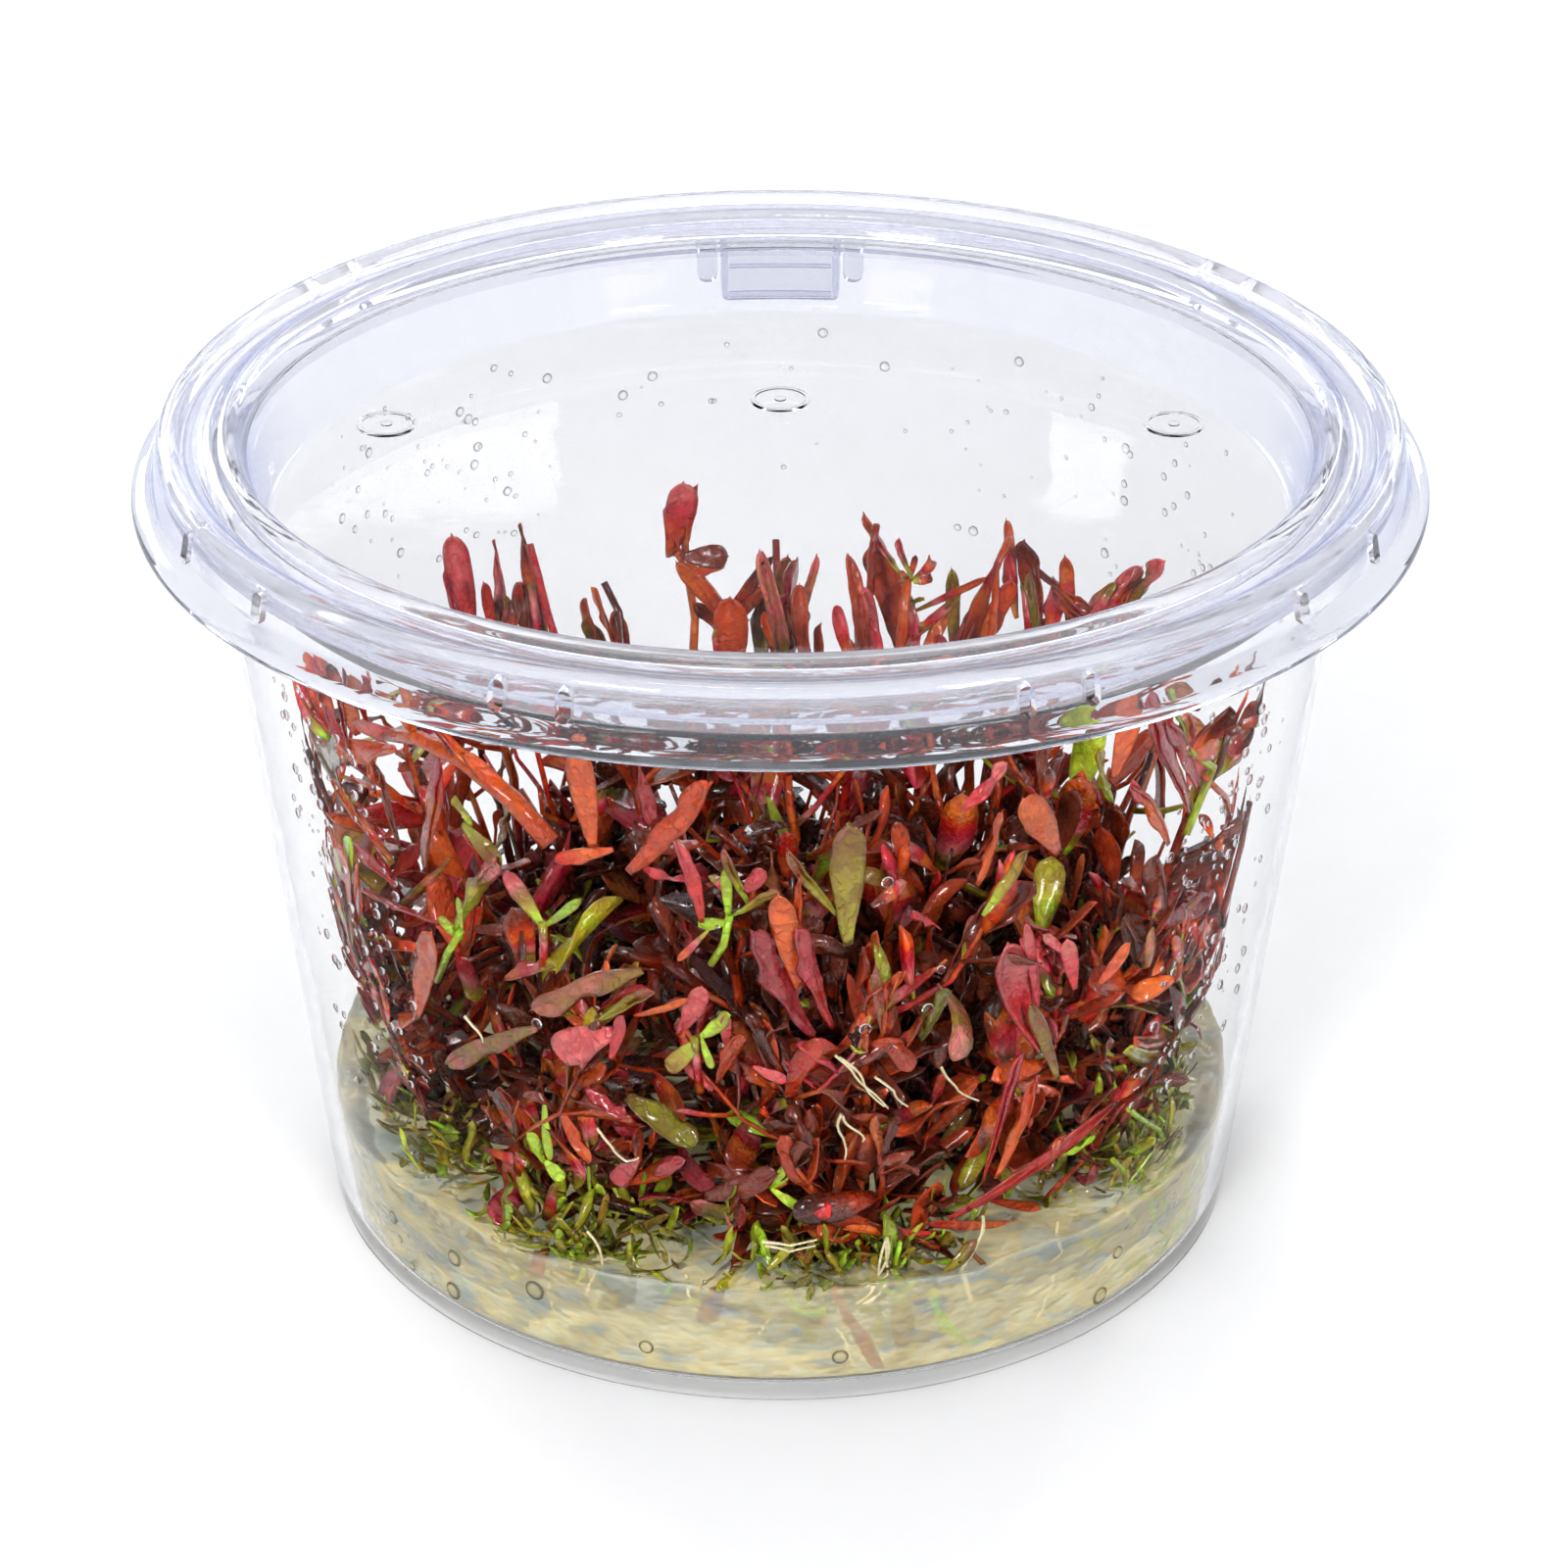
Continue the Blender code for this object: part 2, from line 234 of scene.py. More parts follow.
# %% [markdown]
# ## Paths of light
# A ray to the plants goes through the lid and the wall, in and out at each, and back again. With
# too few bounces the rim turns black. Plants and floor need few of the soft kind, and picture
# colours are left as they are.

# %% Paths of light
bpy.context.scene.view_settings.view_transform = "Standard"
paths = bpy.context.scene.cycles
paths.max_bounces = 24
paths.transmission_bounces = 24
paths.diffuse_bounces = 2
paths.glossy_bounces = 5
paths.transparent_max_bounces = 12
paths.caustics_reflective = False
paths.caustics_refractive = False
paths.use_adaptive_sampling = True
paths.adaptive_threshold = 0.08
paths.adaptive_min_samples = 12
print("paths of up to", paths.max_bounces, "bounces")

# %% [markdown]
# ## Surface noise, built once
# Moulded plastic, gel and floor all carry a faint unevenness at some scale. One shader group gives
# that as a height and as a mask, and each material places it with its own size.

# %% Shader group for unevenness
def make_unevenness():
    group = bpy.data.node_groups.new("unevenness", "ShaderNodeTree")
    face = group.interface
    face.new_socket("Size", in_out="INPUT", socket_type="NodeSocketFloat").default_value = 100.0
    face.new_socket("Stretch", in_out="INPUT", socket_type="NodeSocketVector").default_value = (1, 1, 1)
    face.new_socket("Height", in_out="OUTPUT", socket_type="NodeSocketFloat")
    face.new_socket("Mask", in_out="OUTPUT", socket_type="NodeSocketFloat")
    enter = group.nodes.new("NodeGroupInput")
    leave = group.nodes.new("NodeGroupOutput")
    place = add_node(group, "TexCoord")
    scale = add_node(group, "VectorMath", operation="MULTIPLY")
    waves = add_node(group, "TexNoise", Detail=3.0, Roughness=0.5)
    specks = add_node(group, "TexNoise", Detail=6.0, Roughness=0.7)
    finer = add_node(group, "Math", operation="MULTIPLY")
    finer.inputs[1].default_value = 7.0
    join(group, place.outputs["Object"], scale.inputs[0])
    join(group, enter.outputs["Stretch"], scale.inputs[1])
    for pattern in (waves, specks):
        join(group, scale.outputs["Vector"], pattern.inputs["Vector"])
    join(group, enter.outputs["Size"], waves.inputs["Scale"])
    join(group, enter.outputs["Size"], finer.inputs[0])
    join(group, finer.outputs[0], specks.inputs["Scale"])
    join(group, waves.outputs["Fac"], leave.inputs["Height"])
    join(group, specks.outputs["Fac"], leave.inputs["Mask"])
    return group


UNEVENNESS = make_unevenness()


def uneven(tree, size, stretch=(1.0, 1.0, 1.0)):
    """The unevenness group in a material. Returns its height and mask outputs."""
    node = tree.nodes.new("ShaderNodeGroup")
    node.node_tree = UNEVENNESS
    node.inputs["Size"].default_value = size
    node.inputs["Stretch"].default_value = stretch
    return node.outputs["Height"], node.outputs["Mask"]


print("shader group", UNEVENNESS.name, "has", len(UNEVENNESS.nodes), "nodes")

# %% [markdown]
# ## Clear plastic
# The cup and the lid are the same clear plastic. The real one bends light with an index of about
# 1.49, but then every thin wall mirrors so much of a pale studio that the plants behind it look
# milky. So each part has a lower index of its own, and a darker colour where it is seen edge on
# is partly the tint of more plastic and partly painted dark lines of bent and mirrored light. The
# rim has folds behind folds and is a little milky itself. Faint waves left by the mould bend the
# reflections.

# %% Clear plastic
# Edge colours are partly the tint of more plastic seen edge on and partly painted dark lines of bent and
# mirrored light. The foot's almost black edge paints the dark line round its bottom.
PLASTIC_PARTS = {
    "wall": dict(
        tint=(0.985, 0.985, 0.985), edge_tint_and_painted_shade=(0.62, 0.64, 0.69),
        wave_depth=0.0005, index=1.06, edge_from=0.70,
    ),
    "foot": dict(
        tint=(0.99, 0.99, 0.99), edge_tint_and_painted_shade=(0.10, 0.10, 0.08),
        wave_depth=0.0003, index=1.01, edge_from=0.57,
    ),
    "rim": dict(
        tint=(0.885, 0.89, 0.945), edge_tint_and_painted_shade=(0.24, 0.29, 0.56),
        wave_depth=0.0004, index=1.22, edge_from=0.46, clearness=0.86, rough=(0.04, 0.09),
    ),
    "neck": dict(
        tint=(0.80, 0.81, 0.865), edge_tint_and_painted_shade=(0.32, 0.37, 0.62),
        wave_depth=0.0004, index=1.16, edge_from=0.50, clearness=0.965, rough=(0.03, 0.07),
    ),
    "panel": dict(
        tint=(0.835, 0.83, 0.835), edge_tint_and_painted_shade=(0.60, 0.64, 0.80),
        wave_depth=0.0003, index=1.10, edge_from=0.45,
    ),
    "tab": dict(
        tint=(0.58, 0.60, 0.74), edge_tint_and_painted_shade=(0.30, 0.33, 0.56),
        wave_depth=0.0003, index=1.20, edge_from=0.30, clearness=0.70, rough=(0.04, 0.10),
    ),
}
WAVE_SIZE = 50.0
HAZE = 0.985


def make_plastic(name, tint, edge_tint_and_painted_shade, wave_depth, index, edge_from, clearness=1.0, rough=(0.012, 0.04)):
    """Clear plastic. Seen almost edge on it takes the edge colour: partly the tint of more plastic, partly
    painted dark lines of bent light.
    """
    made, tree, shader = new_material(name, IOR=index, Transmission_Weight=clearness)
    height, mask = uneven(tree, WAVE_SIZE)
    facing = add_node(tree, "LayerWeight", Blend=0.5)
    # How edge on the plastic is seen: where the edge colour goes, as tint and as painted dark lines.
    thick = bands(tree, facing.outputs["Facing"], ((edge_from, 0.0), (0.98, 1.0)))
    haze = bands(tree, mask, ((0.35, tuple(part * HAZE for part in tint)), (0.75, tint)))
    join(tree, blend(tree, "MIX", haze, edge_tint_and_painted_shade, thick), shader.inputs["Base Color"])
    join(tree, bands(tree, mask, ((0.45, rough[0]), (0.85, rough[1]))), shader.inputs["Roughness"])
    bump(tree, shader, height, 0.25, wave_depth)
    let_light_through(tree, shader, (0.99, 0.99, 0.99))
    return made


PLASTIC = {part: make_plastic(f"clear plastic {part}", **values) for part, values in PLASTIC_PARTS.items()}
print(len(PLASTIC), "finishes of clear plastic")

# %% [markdown]
# ## Turned pieces
# Cup, lid and gel are round about one axis. Each starts as a row of points from the axis outwards,
# and the spin operator turns it about that axis. The points of a rounded corner come from a short
# curve, so that the outline holds only the sizes that matter.

# %% Turning helpers
TURN_STEPS = 192
ROUND_AT_MOST = 0.45
home = bpy.context.scene.collection


def to_mesh(name, bm):
    """A mesh from a bmesh, which is then freed."""
    mesh = bpy.data.meshes.new(name)
    bm.to_mesh(mesh)
    bm.free()
    return mesh


def drop_in(bm, mesh):
    """Joins a mesh into a bmesh and removes the mesh."""
    bm.from_mesh(mesh)
    bpy.data.meshes.remove(mesh)


def finish_piece(name, bm, finish, nodes=(), sharp=40.0):
    """A smooth shaded object from a bmesh. It rides on the model's body and stands for its solids."""
    mesh = to_mesh(name, bm)
    mesh.shade_smooth()
    if sharp:
        mesh.set_sharp_from_angle(angle=math.radians(sharp))
    mesh.materials.append(finish)
    piece = bpy.data.objects.new(name, mesh)
    home.objects.link(piece)
    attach(piece, "root")
    if nodes:
        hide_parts(*nodes)
    return piece


def finish_part(piece, finish, wanted):
    """Gives one more finish to the faces whose middle, in mm, is wanted."""
    piece.data.materials.append(finish)
    place = len(piece.data.materials) - 1
    for face in piece.data.polygons:
        if wanted(face.center / MM):
            face.material_index = place


def rounded(points, radius, cuts=4):
    """An outline of (r, z) points in mm, with a curve for each corner, of up to a reach."""
    made = [points[0]]
    for before, corner, after in zip(points, points[1:], points[2:]):
        corner_v = Vector(corner)
        back = Vector(before) - corner_v
        ahead = Vector(after) - corner_v
        reach = min(radius, back.length * ROUND_AT_MOST, ahead.length * ROUND_AT_MOST)
        start = corner_v + back.normalized() * reach
        end = corner_v + ahead.normalized() * reach
        for step in range(cuts + 1):
            part = step / cuts
            spot = start * (1 - part) ** 2 + corner_v * (2 * part * (1 - part)) + end * part ** 2
            made.append(tuple(spot))
    made.append(points[-1])
    return made


def turn_outline(outline, steps=TURN_STEPS):
    """A closed bmesh, turned about Z from an outline in mm that starts and ends on the axis."""
    bm = bmesh.new()
    verts = [bm.verts.new((radius * MM, 0.0, height * MM)) for radius, height in outline]
    edges = [bm.edges.new(pair) for pair in zip(verts, verts[1:])]
    bmesh.ops.spin(
        bm, geom=verts + edges, cent=(0, 0, 0), axis=(0, 0, 1), dvec=(0, 0, 0),
        angle=math.tau, steps=steps, use_merge=True, use_duplicate=False,
    )
    bmesh.ops.remove_doubles(bm, verts=bm.verts[:], dist=0.000001)
    bmesh.ops.recalc_face_normals(bm, faces=bm.faces[:])
    return bm


print("turned pieces get", TURN_STEPS, "steps")

# %% [markdown]
# ## The cup
# A tapered wall 1.2 mm thick rises from a flat foot with a small corner radius to a bead round the
# mouth. The outline goes down the outside to the axis and comes back from it up the inside, so one
# spin gives a shell with real thickness. Clear plastic needs that, because light bends at both
# faces.

# %% Cup
CUP_FOOT_R = 43.8
CUP_TOP_R = 52.4
CUP_WALL_TOP_Z = 75.4
CUP_MOUTH_Z = 77.2
CUP_BEAD_R = 55.4
CUP_WALL = 1.2
CUP_FLOOR = 1.0
CUP_LIP = 0.6
CUP_NECK_Z = 73.5
FOOT_BAND_Z = CUP_FLOOR + 0.3


def cup_outline():
    """Half of the cup cut through, as (r, z) points in mm."""
    outside = rounded([
        (CUP_TOP_R - CUP_WALL, CUP_MOUTH_Z - CUP_LIP),
        (CUP_TOP_R - CUP_WALL, CUP_MOUTH_Z),
        (CUP_BEAD_R, CUP_MOUTH_Z),
        (CUP_BEAD_R, CUP_WALL_TOP_Z),
        (CUP_TOP_R, CUP_WALL_TOP_Z),
        (CUP_FOOT_R, 0.0),
        (0.0, 0.0),
    ], 1.3)
    inside = rounded([
        (0.0, CUP_FLOOR),
        (CUP_FOOT_R - CUP_WALL, CUP_FLOOR),
        (CUP_TOP_R - CUP_WALL, CUP_MOUTH_Z - CUP_LIP),
    ], 1.8)
    return outside + inside


def inner_radius(height):
    """Radius of the cup's inner wall at a height, in mm."""
    return CUP_FOOT_R - CUP_WALL + (CUP_TOP_R - CUP_FOOT_R) * height / CUP_WALL_TOP_Z


cup = finish_piece("cup_shell", turn_outline(cup_outline()), PLASTIC["wall"], ["cup"])
finish_part(cup, PLASTIC["neck"], lambda spot: spot.z > CUP_NECK_Z)
finish_part(cup, PLASTIC["foot"], lambda spot: spot.z < FOOT_BAND_Z)
print("cup has", len(cup.data.polygons), "faces")

# %% [markdown]
# ## The lid
# The lid is one moulding: a recessed panel, a plug wall that goes up to a rim with two crests, a
# skirt outside it and a flange at the bottom. It is turned like the cup, so what isn't round, such
# as slots and the thumb tab, comes in a later step.

# %% Lid
LID_R = 59.2
LID_TOP_Z = 79.5
LID_THICK = 1.0
PANEL_TOP_Z = 70.3
PANEL_R = 47.1
FLANGE_Z = 74.0
CREST_IN = PANEL_R + 3.6
CREST_OUT = PANEL_R + 8.1
GROOVE = (CREST_IN + CREST_OUT) / 2
GROOVE_Z = LID_TOP_Z - 0.9
FLANGE_UNDER_Z = FLANGE_Z - 0.9
FLANGE_LIP = 1.1
LID_CREASE = 50.0


def lid_outline():
    """Half of the lid cut through, as (r, z) points in mm."""
    over = rounded([
        (0.0, PANEL_TOP_Z),
        (PANEL_R, PANEL_TOP_Z),
        (CREST_IN - 2.0, LID_TOP_Z - 1.4),
        (CREST_IN - 0.9, LID_TOP_Z),
        (CREST_IN + 0.3, LID_TOP_Z),
        (GROOVE - 0.9, GROOVE_Z),
        (GROOVE + 0.9, GROOVE_Z),
        (CREST_OUT - 0.4, LID_TOP_Z),
        (CREST_OUT + 1.2, LID_TOP_Z),
        (CREST_OUT + 1.7, LID_TOP_Z - 1.3),
        (CREST_OUT + 2.3, FLANGE_Z + 1.0),
        (LID_R, FLANGE_Z + 0.5),
        (LID_R, FLANGE_UNDER_Z),
        (LID_R - FLANGE_LIP, FLANGE_UNDER_Z),
    ], 0.9)
    under = rounded([
        (LID_R - FLANGE_LIP, FLANGE_UNDER_Z),
        (CREST_OUT + 1.5, FLANGE_Z + 0.1),
        (CREST_OUT + 0.8, LID_TOP_Z - 1.4),
        (GROOVE, GROOVE_Z - LID_THICK),
        (CREST_IN - 0.2, LID_TOP_Z - 1.2),
        (CREST_IN - 0.9, LID_TOP_Z - 3.0),
        (CREST_IN + 0.1, LID_TOP_Z - 3.8),
        (CREST_IN - 1.2, LID_TOP_Z - 5.0),
        (PANEL_R + 0.6, PANEL_TOP_Z - LID_THICK),
        (0.0, PANEL_TOP_Z - LID_THICK),
    ], 0.6)
    return over + under[1:]


lid_shell = turn_outline(lid_outline())
lid = finish_piece("lid_moulding", lid_shell, PLASTIC["rim"], ["lid"], LID_CREASE)
print("lid has", len(lid.data.polygons), "faces")

# %% [markdown]
# ## Slots and thumb tab
# Small upright slots stand in the skirt, and a tab with a raised frame and two ears hangs at the
# back. Each is a small block bent round the axis: its edges are bevelled, a few cuts are made
# across it, and its points are turned from flat to round one by one. A boolean then cuts the
# blocks out of the lid or joins them to it, and the blocks themselves aren't shown.

# %% Lid details
SLOT_ANGLES = (-24.0, -18.0, 20.6, 26.6, -51.0, 51.0, -65.0, 65.0, -126.0, -132.0, 126.0, 132.0)
SLOT_R = LID_R - 2.4
SLOT_DEPTH = 3.0
SLOT_WIDTH = 1.4
SLOT_LOW = FLANGE_Z + 1.3
SLOT_HIGH = LID_TOP_Z - 1.5
TAB_R = LID_R - 1.5
TAB_WIDTH = 12.3
TAB_LOW = 67.2
TAB_HIGH = FLANGE_Z - 0.2
EAR_FROM_MIDDLE = 7.6
EAR_WIDTH = 2.0
EAR_LOW = 69.4
FRAME_R = LID_R - 1.05
FRAME_THICK = 0.7
FRAME_ROWS = ((67.3, 67.9), (70.5, 71.0))
FRAME_LOW = FRAME_ROWS[0][0]
FRAME_HIGH = FLANGE_Z - 0.3
FRAME_HALF = 5.75
FRAME_INNER = 10.6
FRAME_BAR = 0.6
CUT_CORNER = 0.6
TAB_CORNER = 0.9
EAR_CORNER = 0.8
BAR_CORNER = 0.15


def bent_block(bm, radius, thick, low, high, angle, width, corner, flats=6):
    """A block with rounded corners, bent round Z. Sizes in mm, angle in degrees from the back."""
    one = bmesh.new()
    bmesh.ops.create_cube(one, size=1.0)
    bmesh.ops.scale(one, verts=one.verts[:], vec=(width, thick, high - low))
    deep = [edge for edge in one.edges if abs((edge.verts[0].co - edge.verts[1].co).y) > thick / 2]
    bmesh.ops.bevel(
        one, geom=deep, offset=corner, offset_type="OFFSET", affect="EDGES", segments=4,
        profile=0.5, material=-1,
    )
    for step in range(1, flats):
        bmesh.ops.bisect_plane(
            one, geom=one.verts[:] + one.edges[:] + one.faces[:],
            plane_co=(width * (step / flats - 0.5), 0, 0), plane_no=(1, 0, 0),
        )
    for vert in one.verts:
        turn = math.radians(angle) + vert.co.x / radius
        out = radius + vert.co.y
        height = vert.co.z + (low + high) / 2
        vert.co = (math.sin(turn) * out * MM, math.cos(turn) * out * MM, height * MM)
    drop_in(bm, to_mesh("block", one))


def apply_cutter(piece, name, bm, operation):
    """Cuts a piece with a bmesh, or joins it, and applies the result to its mesh."""
    bmesh.ops.recalc_face_normals(bm, faces=bm.faces[:])
    cutter = bpy.data.objects.new(name, to_mesh(name, bm))
    home.objects.link(cutter)
    tool = piece.modifiers.new(name, "BOOLEAN")
    tool.operation = operation
    tool.object = cutter
    tool.solver = "EXACT"
    bpy.context.view_layer.update()
    finished = piece.evaluated_get(bpy.context.evaluated_depsgraph_get())
    result = bpy.data.meshes.new_from_object(finished)
    piece.modifiers.clear()
    piece.data = result
    bpy.data.objects.remove(cutter)


slots = bmesh.new()
for slot_angle in SLOT_ANGLES:
    bent_block(
        slots, SLOT_R, SLOT_DEPTH, SLOT_LOW, SLOT_HIGH, 180.0 - slot_angle, SLOT_WIDTH, CUT_CORNER,
    )
apply_cutter(lid, "slots", slots, "DIFFERENCE")

tab = bmesh.new()
bent_block(tab, TAB_R, LID_THICK, TAB_LOW, TAB_HIGH, 0.0, TAB_WIDTH, TAB_CORNER)
for side in (-1, 1):
    turn = side * math.degrees(EAR_FROM_MIDDLE / TAB_R)
    bent_block(tab, TAB_R, LID_THICK, EAR_LOW, TAB_HIGH, turn, EAR_WIDTH, EAR_CORNER)
apply_cutter(lid, "tab", tab, "UNION")

frame_bars = bmesh.new()
for side in (-1, 1):
    turn = side * math.degrees(FRAME_HALF / FRAME_R)
    bent_block(frame_bars, FRAME_R, FRAME_THICK, FRAME_LOW, FRAME_HIGH, turn, FRAME_BAR, BAR_CORNER, 2)
for bar_low, bar_high in FRAME_ROWS:
    bent_block(frame_bars, FRAME_R, FRAME_THICK, bar_low, bar_high, 0.0, FRAME_INNER, BAR_CORNER)
apply_cutter(lid, "tab frame", frame_bars, "UNION")
print("lid has", len(lid.data.polygons), "faces after cutting")

# %% [markdown]
# ## Mould marks
# Three round marks stand on the panel, where the plastic was pushed out of its mould: a low step
# with a sunk floor and a small raised hub. A flat cone makes the step, and insets and extrusions
# of its top face make the rest.

# %% Mould marks
MARK_PLACES = ((0.0, 23.3), (-37.6, 17.3), (37.6, 17.3))
MARK_R = 3.0
MARK_STEP = 0.5
MARK_SLOPE = 0.2
MARK_EDGE = 0.35
MARK_SINK = 0.15
HUB_INSET = 1.9
HUB_RISE = 0.12


def add_mark(bm, x, y):
    """A low round step with a sunk floor and a small hub in its middle."""
    disc = bmesh.ops.create_cone(
        bm, cap_ends=True, segments=48, radius1=MARK_R * MM, radius2=(MARK_R - MARK_SLOPE) * MM,
        depth=MARK_STEP * MM, matrix=Matrix.Translation(Vector((x, y, PANEL_TOP_Z)) * MM),
    )["verts"]
    faces = {face for vert in disc for face in vert.link_faces}
    top = max(faces, key=lambda face: face.calc_center_median().z)
    bmesh.ops.inset_region(bm, faces=[top], thickness=MARK_EDGE * MM)
    inner = bmesh.ops.extrude_discrete_faces(bm, faces=[top])["faces"]
    bmesh.ops.translate(bm, verts=inner[0].verts[:], vec=(0, 0, -MARK_SINK * MM))
    bmesh.ops.inset_region(bm, faces=inner, thickness=HUB_INSET * MM)
    hub = bmesh.ops.extrude_discrete_faces(bm, faces=inner)["faces"]
    bmesh.ops.translate(bm, verts=hub[0].verts[:], vec=(0, 0, HUB_RISE * MM))


marks = bmesh.new()
for mark_x, mark_y in MARK_PLACES:
    add_mark(marks, mark_x, mark_y)
apply_cutter(lid, "marks", marks, "UNION")
print("lid has", len(lid.data.polygons), "faces with its marks")

# %% [markdown]
# ## Finishes of the lid
# Smooth shading bends what a big flat face mirrors, so the flat faces of the panel are shaded
# flat. Panel, neck and tab get finishes of their own, because the eye meets them at other angles
# than the folded rim.

# %% Finishes of the lid
NECK_Z = 76.6
NECK_FROM_R = PANEL_R - 1.0
TAB_BELOW_Z = 73.0
TAB_FROM_R = FRAME_R + 0.1
FLAT_FROM = 0.999


def from_axis(spot):
    """How far a place is from the cup's axis."""
    return math.hypot(spot.x, spot.y)


lid.data.shade_smooth()
lid.data.set_sharp_from_angle(angle=math.radians(LID_CREASE))
finish_part(lid, PLASTIC["panel"], lambda spot: from_axis(spot) < NECK_FROM_R)
finish_part(lid, PLASTIC["neck"], lambda spot: spot.z < NECK_Z and from_axis(spot) > NECK_FROM_R)
finish_part(lid, PLASTIC["tab"], lambda spot: spot.z < TAB_BELOW_Z and from_axis(spot) > TAB_FROM_R)
for face in lid.data.polygons:
    if abs(face.normal.z) > FLAT_FROM:
        face.use_smooth = False
print("lid has", len(lid.data.materials), "finishes")

# %% [markdown]
# ## Nutrient gel
# The plants stand on a disc of set gel, as clear as weak tea. It was poured hot, so its surface
# set in low waves and climbs the wall a little. The top is drawn as many rings before it is
# turned, and a noise then lifts each of its points. In the real gel, bent light shows as patches
# of straw and blue grey. Here these patches of light are painted into its colour, and its
# underside lets no view through, so that the gel looks as bright and cloudy as light inside it
# makes it. A painted dark line of shade follows its lower edge.

# %% Gel
GEL_TOP_Z = 11.5
GEL_FOOT_Z = CUP_FLOOR + 0.15
GEL_GAP = 0.30
GEL_RINGS = 30
GEL_CLIMB = 0.7
GEL_CORNER = 1.8
GEL_EDGE = 1.6
TOP_WAVES = 9.0
TOP_LIFT = 0.9
GEL_INDEX = 1.20
GEL_PATCHES = 115.0
PATCHES_FLAT = (1.0, 1.0, 1.9)
FOOT_SHADOW = (0.30, 0.29, 0.26)
GEL_FINISHES = {
    "set gel": dict(
        clearness=0.66, cream=(1.0, 0.94, 0.66), straw=(1.0, 0.87, 0.53), slate=(0.70, 0.75, 0.70),
        shadow=(1.0, 0.99, 0.95),
    ),
    "foot of the gel": dict(
        clearness=0.0, cream=(1.0, 0.97, 0.74), straw=(1.0, 0.87, 0.50), slate=(0.46, 0.54, 0.52),
        shadow=FOOT_SHADOW,
    ),
    # Painted shade: a dark line along the gel's lower edge.
    "painted dark line along the gel's lower edge": dict(
        clearness=0.0, cream=(0.42, 0.38, 0.27), straw=(0.34, 0.31, 0.22), slate=(0.22, 0.22, 0.18),
        shadow=FOOT_SHADOW,
    ),
}


def gel_outline():
    """Half of the gel cut through, as (r, z) points in mm."""
    side_high = inner_radius(GEL_TOP_Z) - GEL_GAP
    flat_r = side_high - GEL_EDGE
    top = [(flat_r * step / GEL_RINGS, GEL_TOP_Z) for step in range(GEL_RINGS + 1)]
    side = [
        (side_high, GEL_TOP_Z + GEL_CLIMB),
        (inner_radius(GEL_TOP_Z * 0.5) - GEL_GAP, GEL_TOP_Z * 0.5),
        (inner_radius(GEL_FOOT_Z) - GEL_GAP, GEL_FOOT_Z),
        (0.0, GEL_FOOT_Z),
    ]
    return top + rounded([top[-1], *side], GEL_CORNER)[1:]


def make_gel_finish(name, clearness, cream, straw, slate, shadow):
    """Gel with painted patches of bent light in three colours. Shadow is the colour of the light that it lets
    through.
    """
    made, tree, shader = new_material(name, IOR=GEL_INDEX, Transmission_Weight=clearness)
    height, mask = uneven(tree, GEL_PATCHES, PATCHES_FLAT)
    # The patches paint bent light into the gel's colour.
    patches = ((0.36, slate), (0.43, straw), (0.47, cream), (0.52, cream), (0.55, straw), (0.64, slate))
    join(tree, bands(tree, height, patches), shader.inputs["Base Color"])
    join(tree, bands(tree, mask, ((0.4, 0.02), (0.8, 0.10))), shader.inputs["Roughness"])
    bump(tree, shader, height, 0.6, 0.003)
    let_light_through(tree, shader, shadow)
    return made


def wavy_top(bm):
    """Lifts and lowers the points of the gel's top by a smooth noise."""
    for vert in bm.verts:
        if vert.co.z > (GEL_TOP_Z - 0.1) * MM:
            spot = Vector((vert.co.x, vert.co.y, 0.0)) / (TOP_WAVES * MM)
            vert.co.z += (noise.noise(spot) + 0.4 * noise.noise(spot * 2.7)) * TOP_LIFT * MM


gel_bm = turn_outline(gel_outline())
wavy_top(gel_bm)
clear_gel, cloudy_gel, painted_dark_line = [make_gel_finish(name, **values) for name, values in GEL_FINISHES.items()]
gel = finish_piece("gel_disc", gel_bm, clear_gel, ["gel"])
UNDERSIDE_BELOW = GEL_FOOT_Z + 0.6
EDGE_BELOW = GEL_FOOT_Z + 0.8
EDGE_FROM_R = CUP_FOOT_R - 3.4
finish_part(gel, cloudy_gel, lambda spot: spot.z < UNDERSIDE_BELOW)
finish_part(gel, painted_dark_line, lambda spot: spot.z < EDGE_BELOW and from_axis(spot) > EDGE_FROM_R)
print("gel has", len(gel.data.polygons), "faces")

# %% [markdown]
# ## Leaf finish
# One finish serves every leaf and stem. Two colour attributes tell it where it is. `leaf_place`
# holds the way along the leaf, the way across it and which side it is. `leaf_tone` holds a place
# on a scale of plant colours, a brightness that also carries painted shade and light, and how
# blotched the leaf is. So a leaf can be green at its foot and red at its tip, and no two need be
# alike. A pale middle rib, fine creases with painted shade in them, a darker margin and a redder
# underside go over the colour. A coat makes the leaf wet. Thin leaves glow when light is behind
# them, so a translucent shader is mixed in.

# %% Leaf finish
LEAF_COLOURS = (
    (0.00, (0.045, 0.009, 0.003)),
    (0.14, (0.170, 0.018, 0.004)),
    (0.28, (0.500, 0.038, 0.005)),
    (0.40, (0.800, 0.095, 0.010)),
    (0.50, (0.920, 0.220, 0.020)),
    (0.58, (0.820, 0.022, 0.010)),
    (0.67, (0.760, 0.034, 0.078)),
    (0.76, (0.970, 0.260, 0.260)),
    (0.84, (0.360, 0.215, 0.022)),
    (0.92, (0.620, 0.620, 0.025)),
    (1.00, (0.560, 1.000, 0.040)),
)
MOTTLE_SIZE = 420.0
CREASE_SIZE = 760.0


def read_attribute(tree, name):
    """The three channels of a colour attribute, as outputs of a node."""
    split = add_node(tree, "SeparateColor")
    join(tree, add_node(tree, "Attribute", attribute_name=name).outputs["Color"], split.inputs[0])
    return split


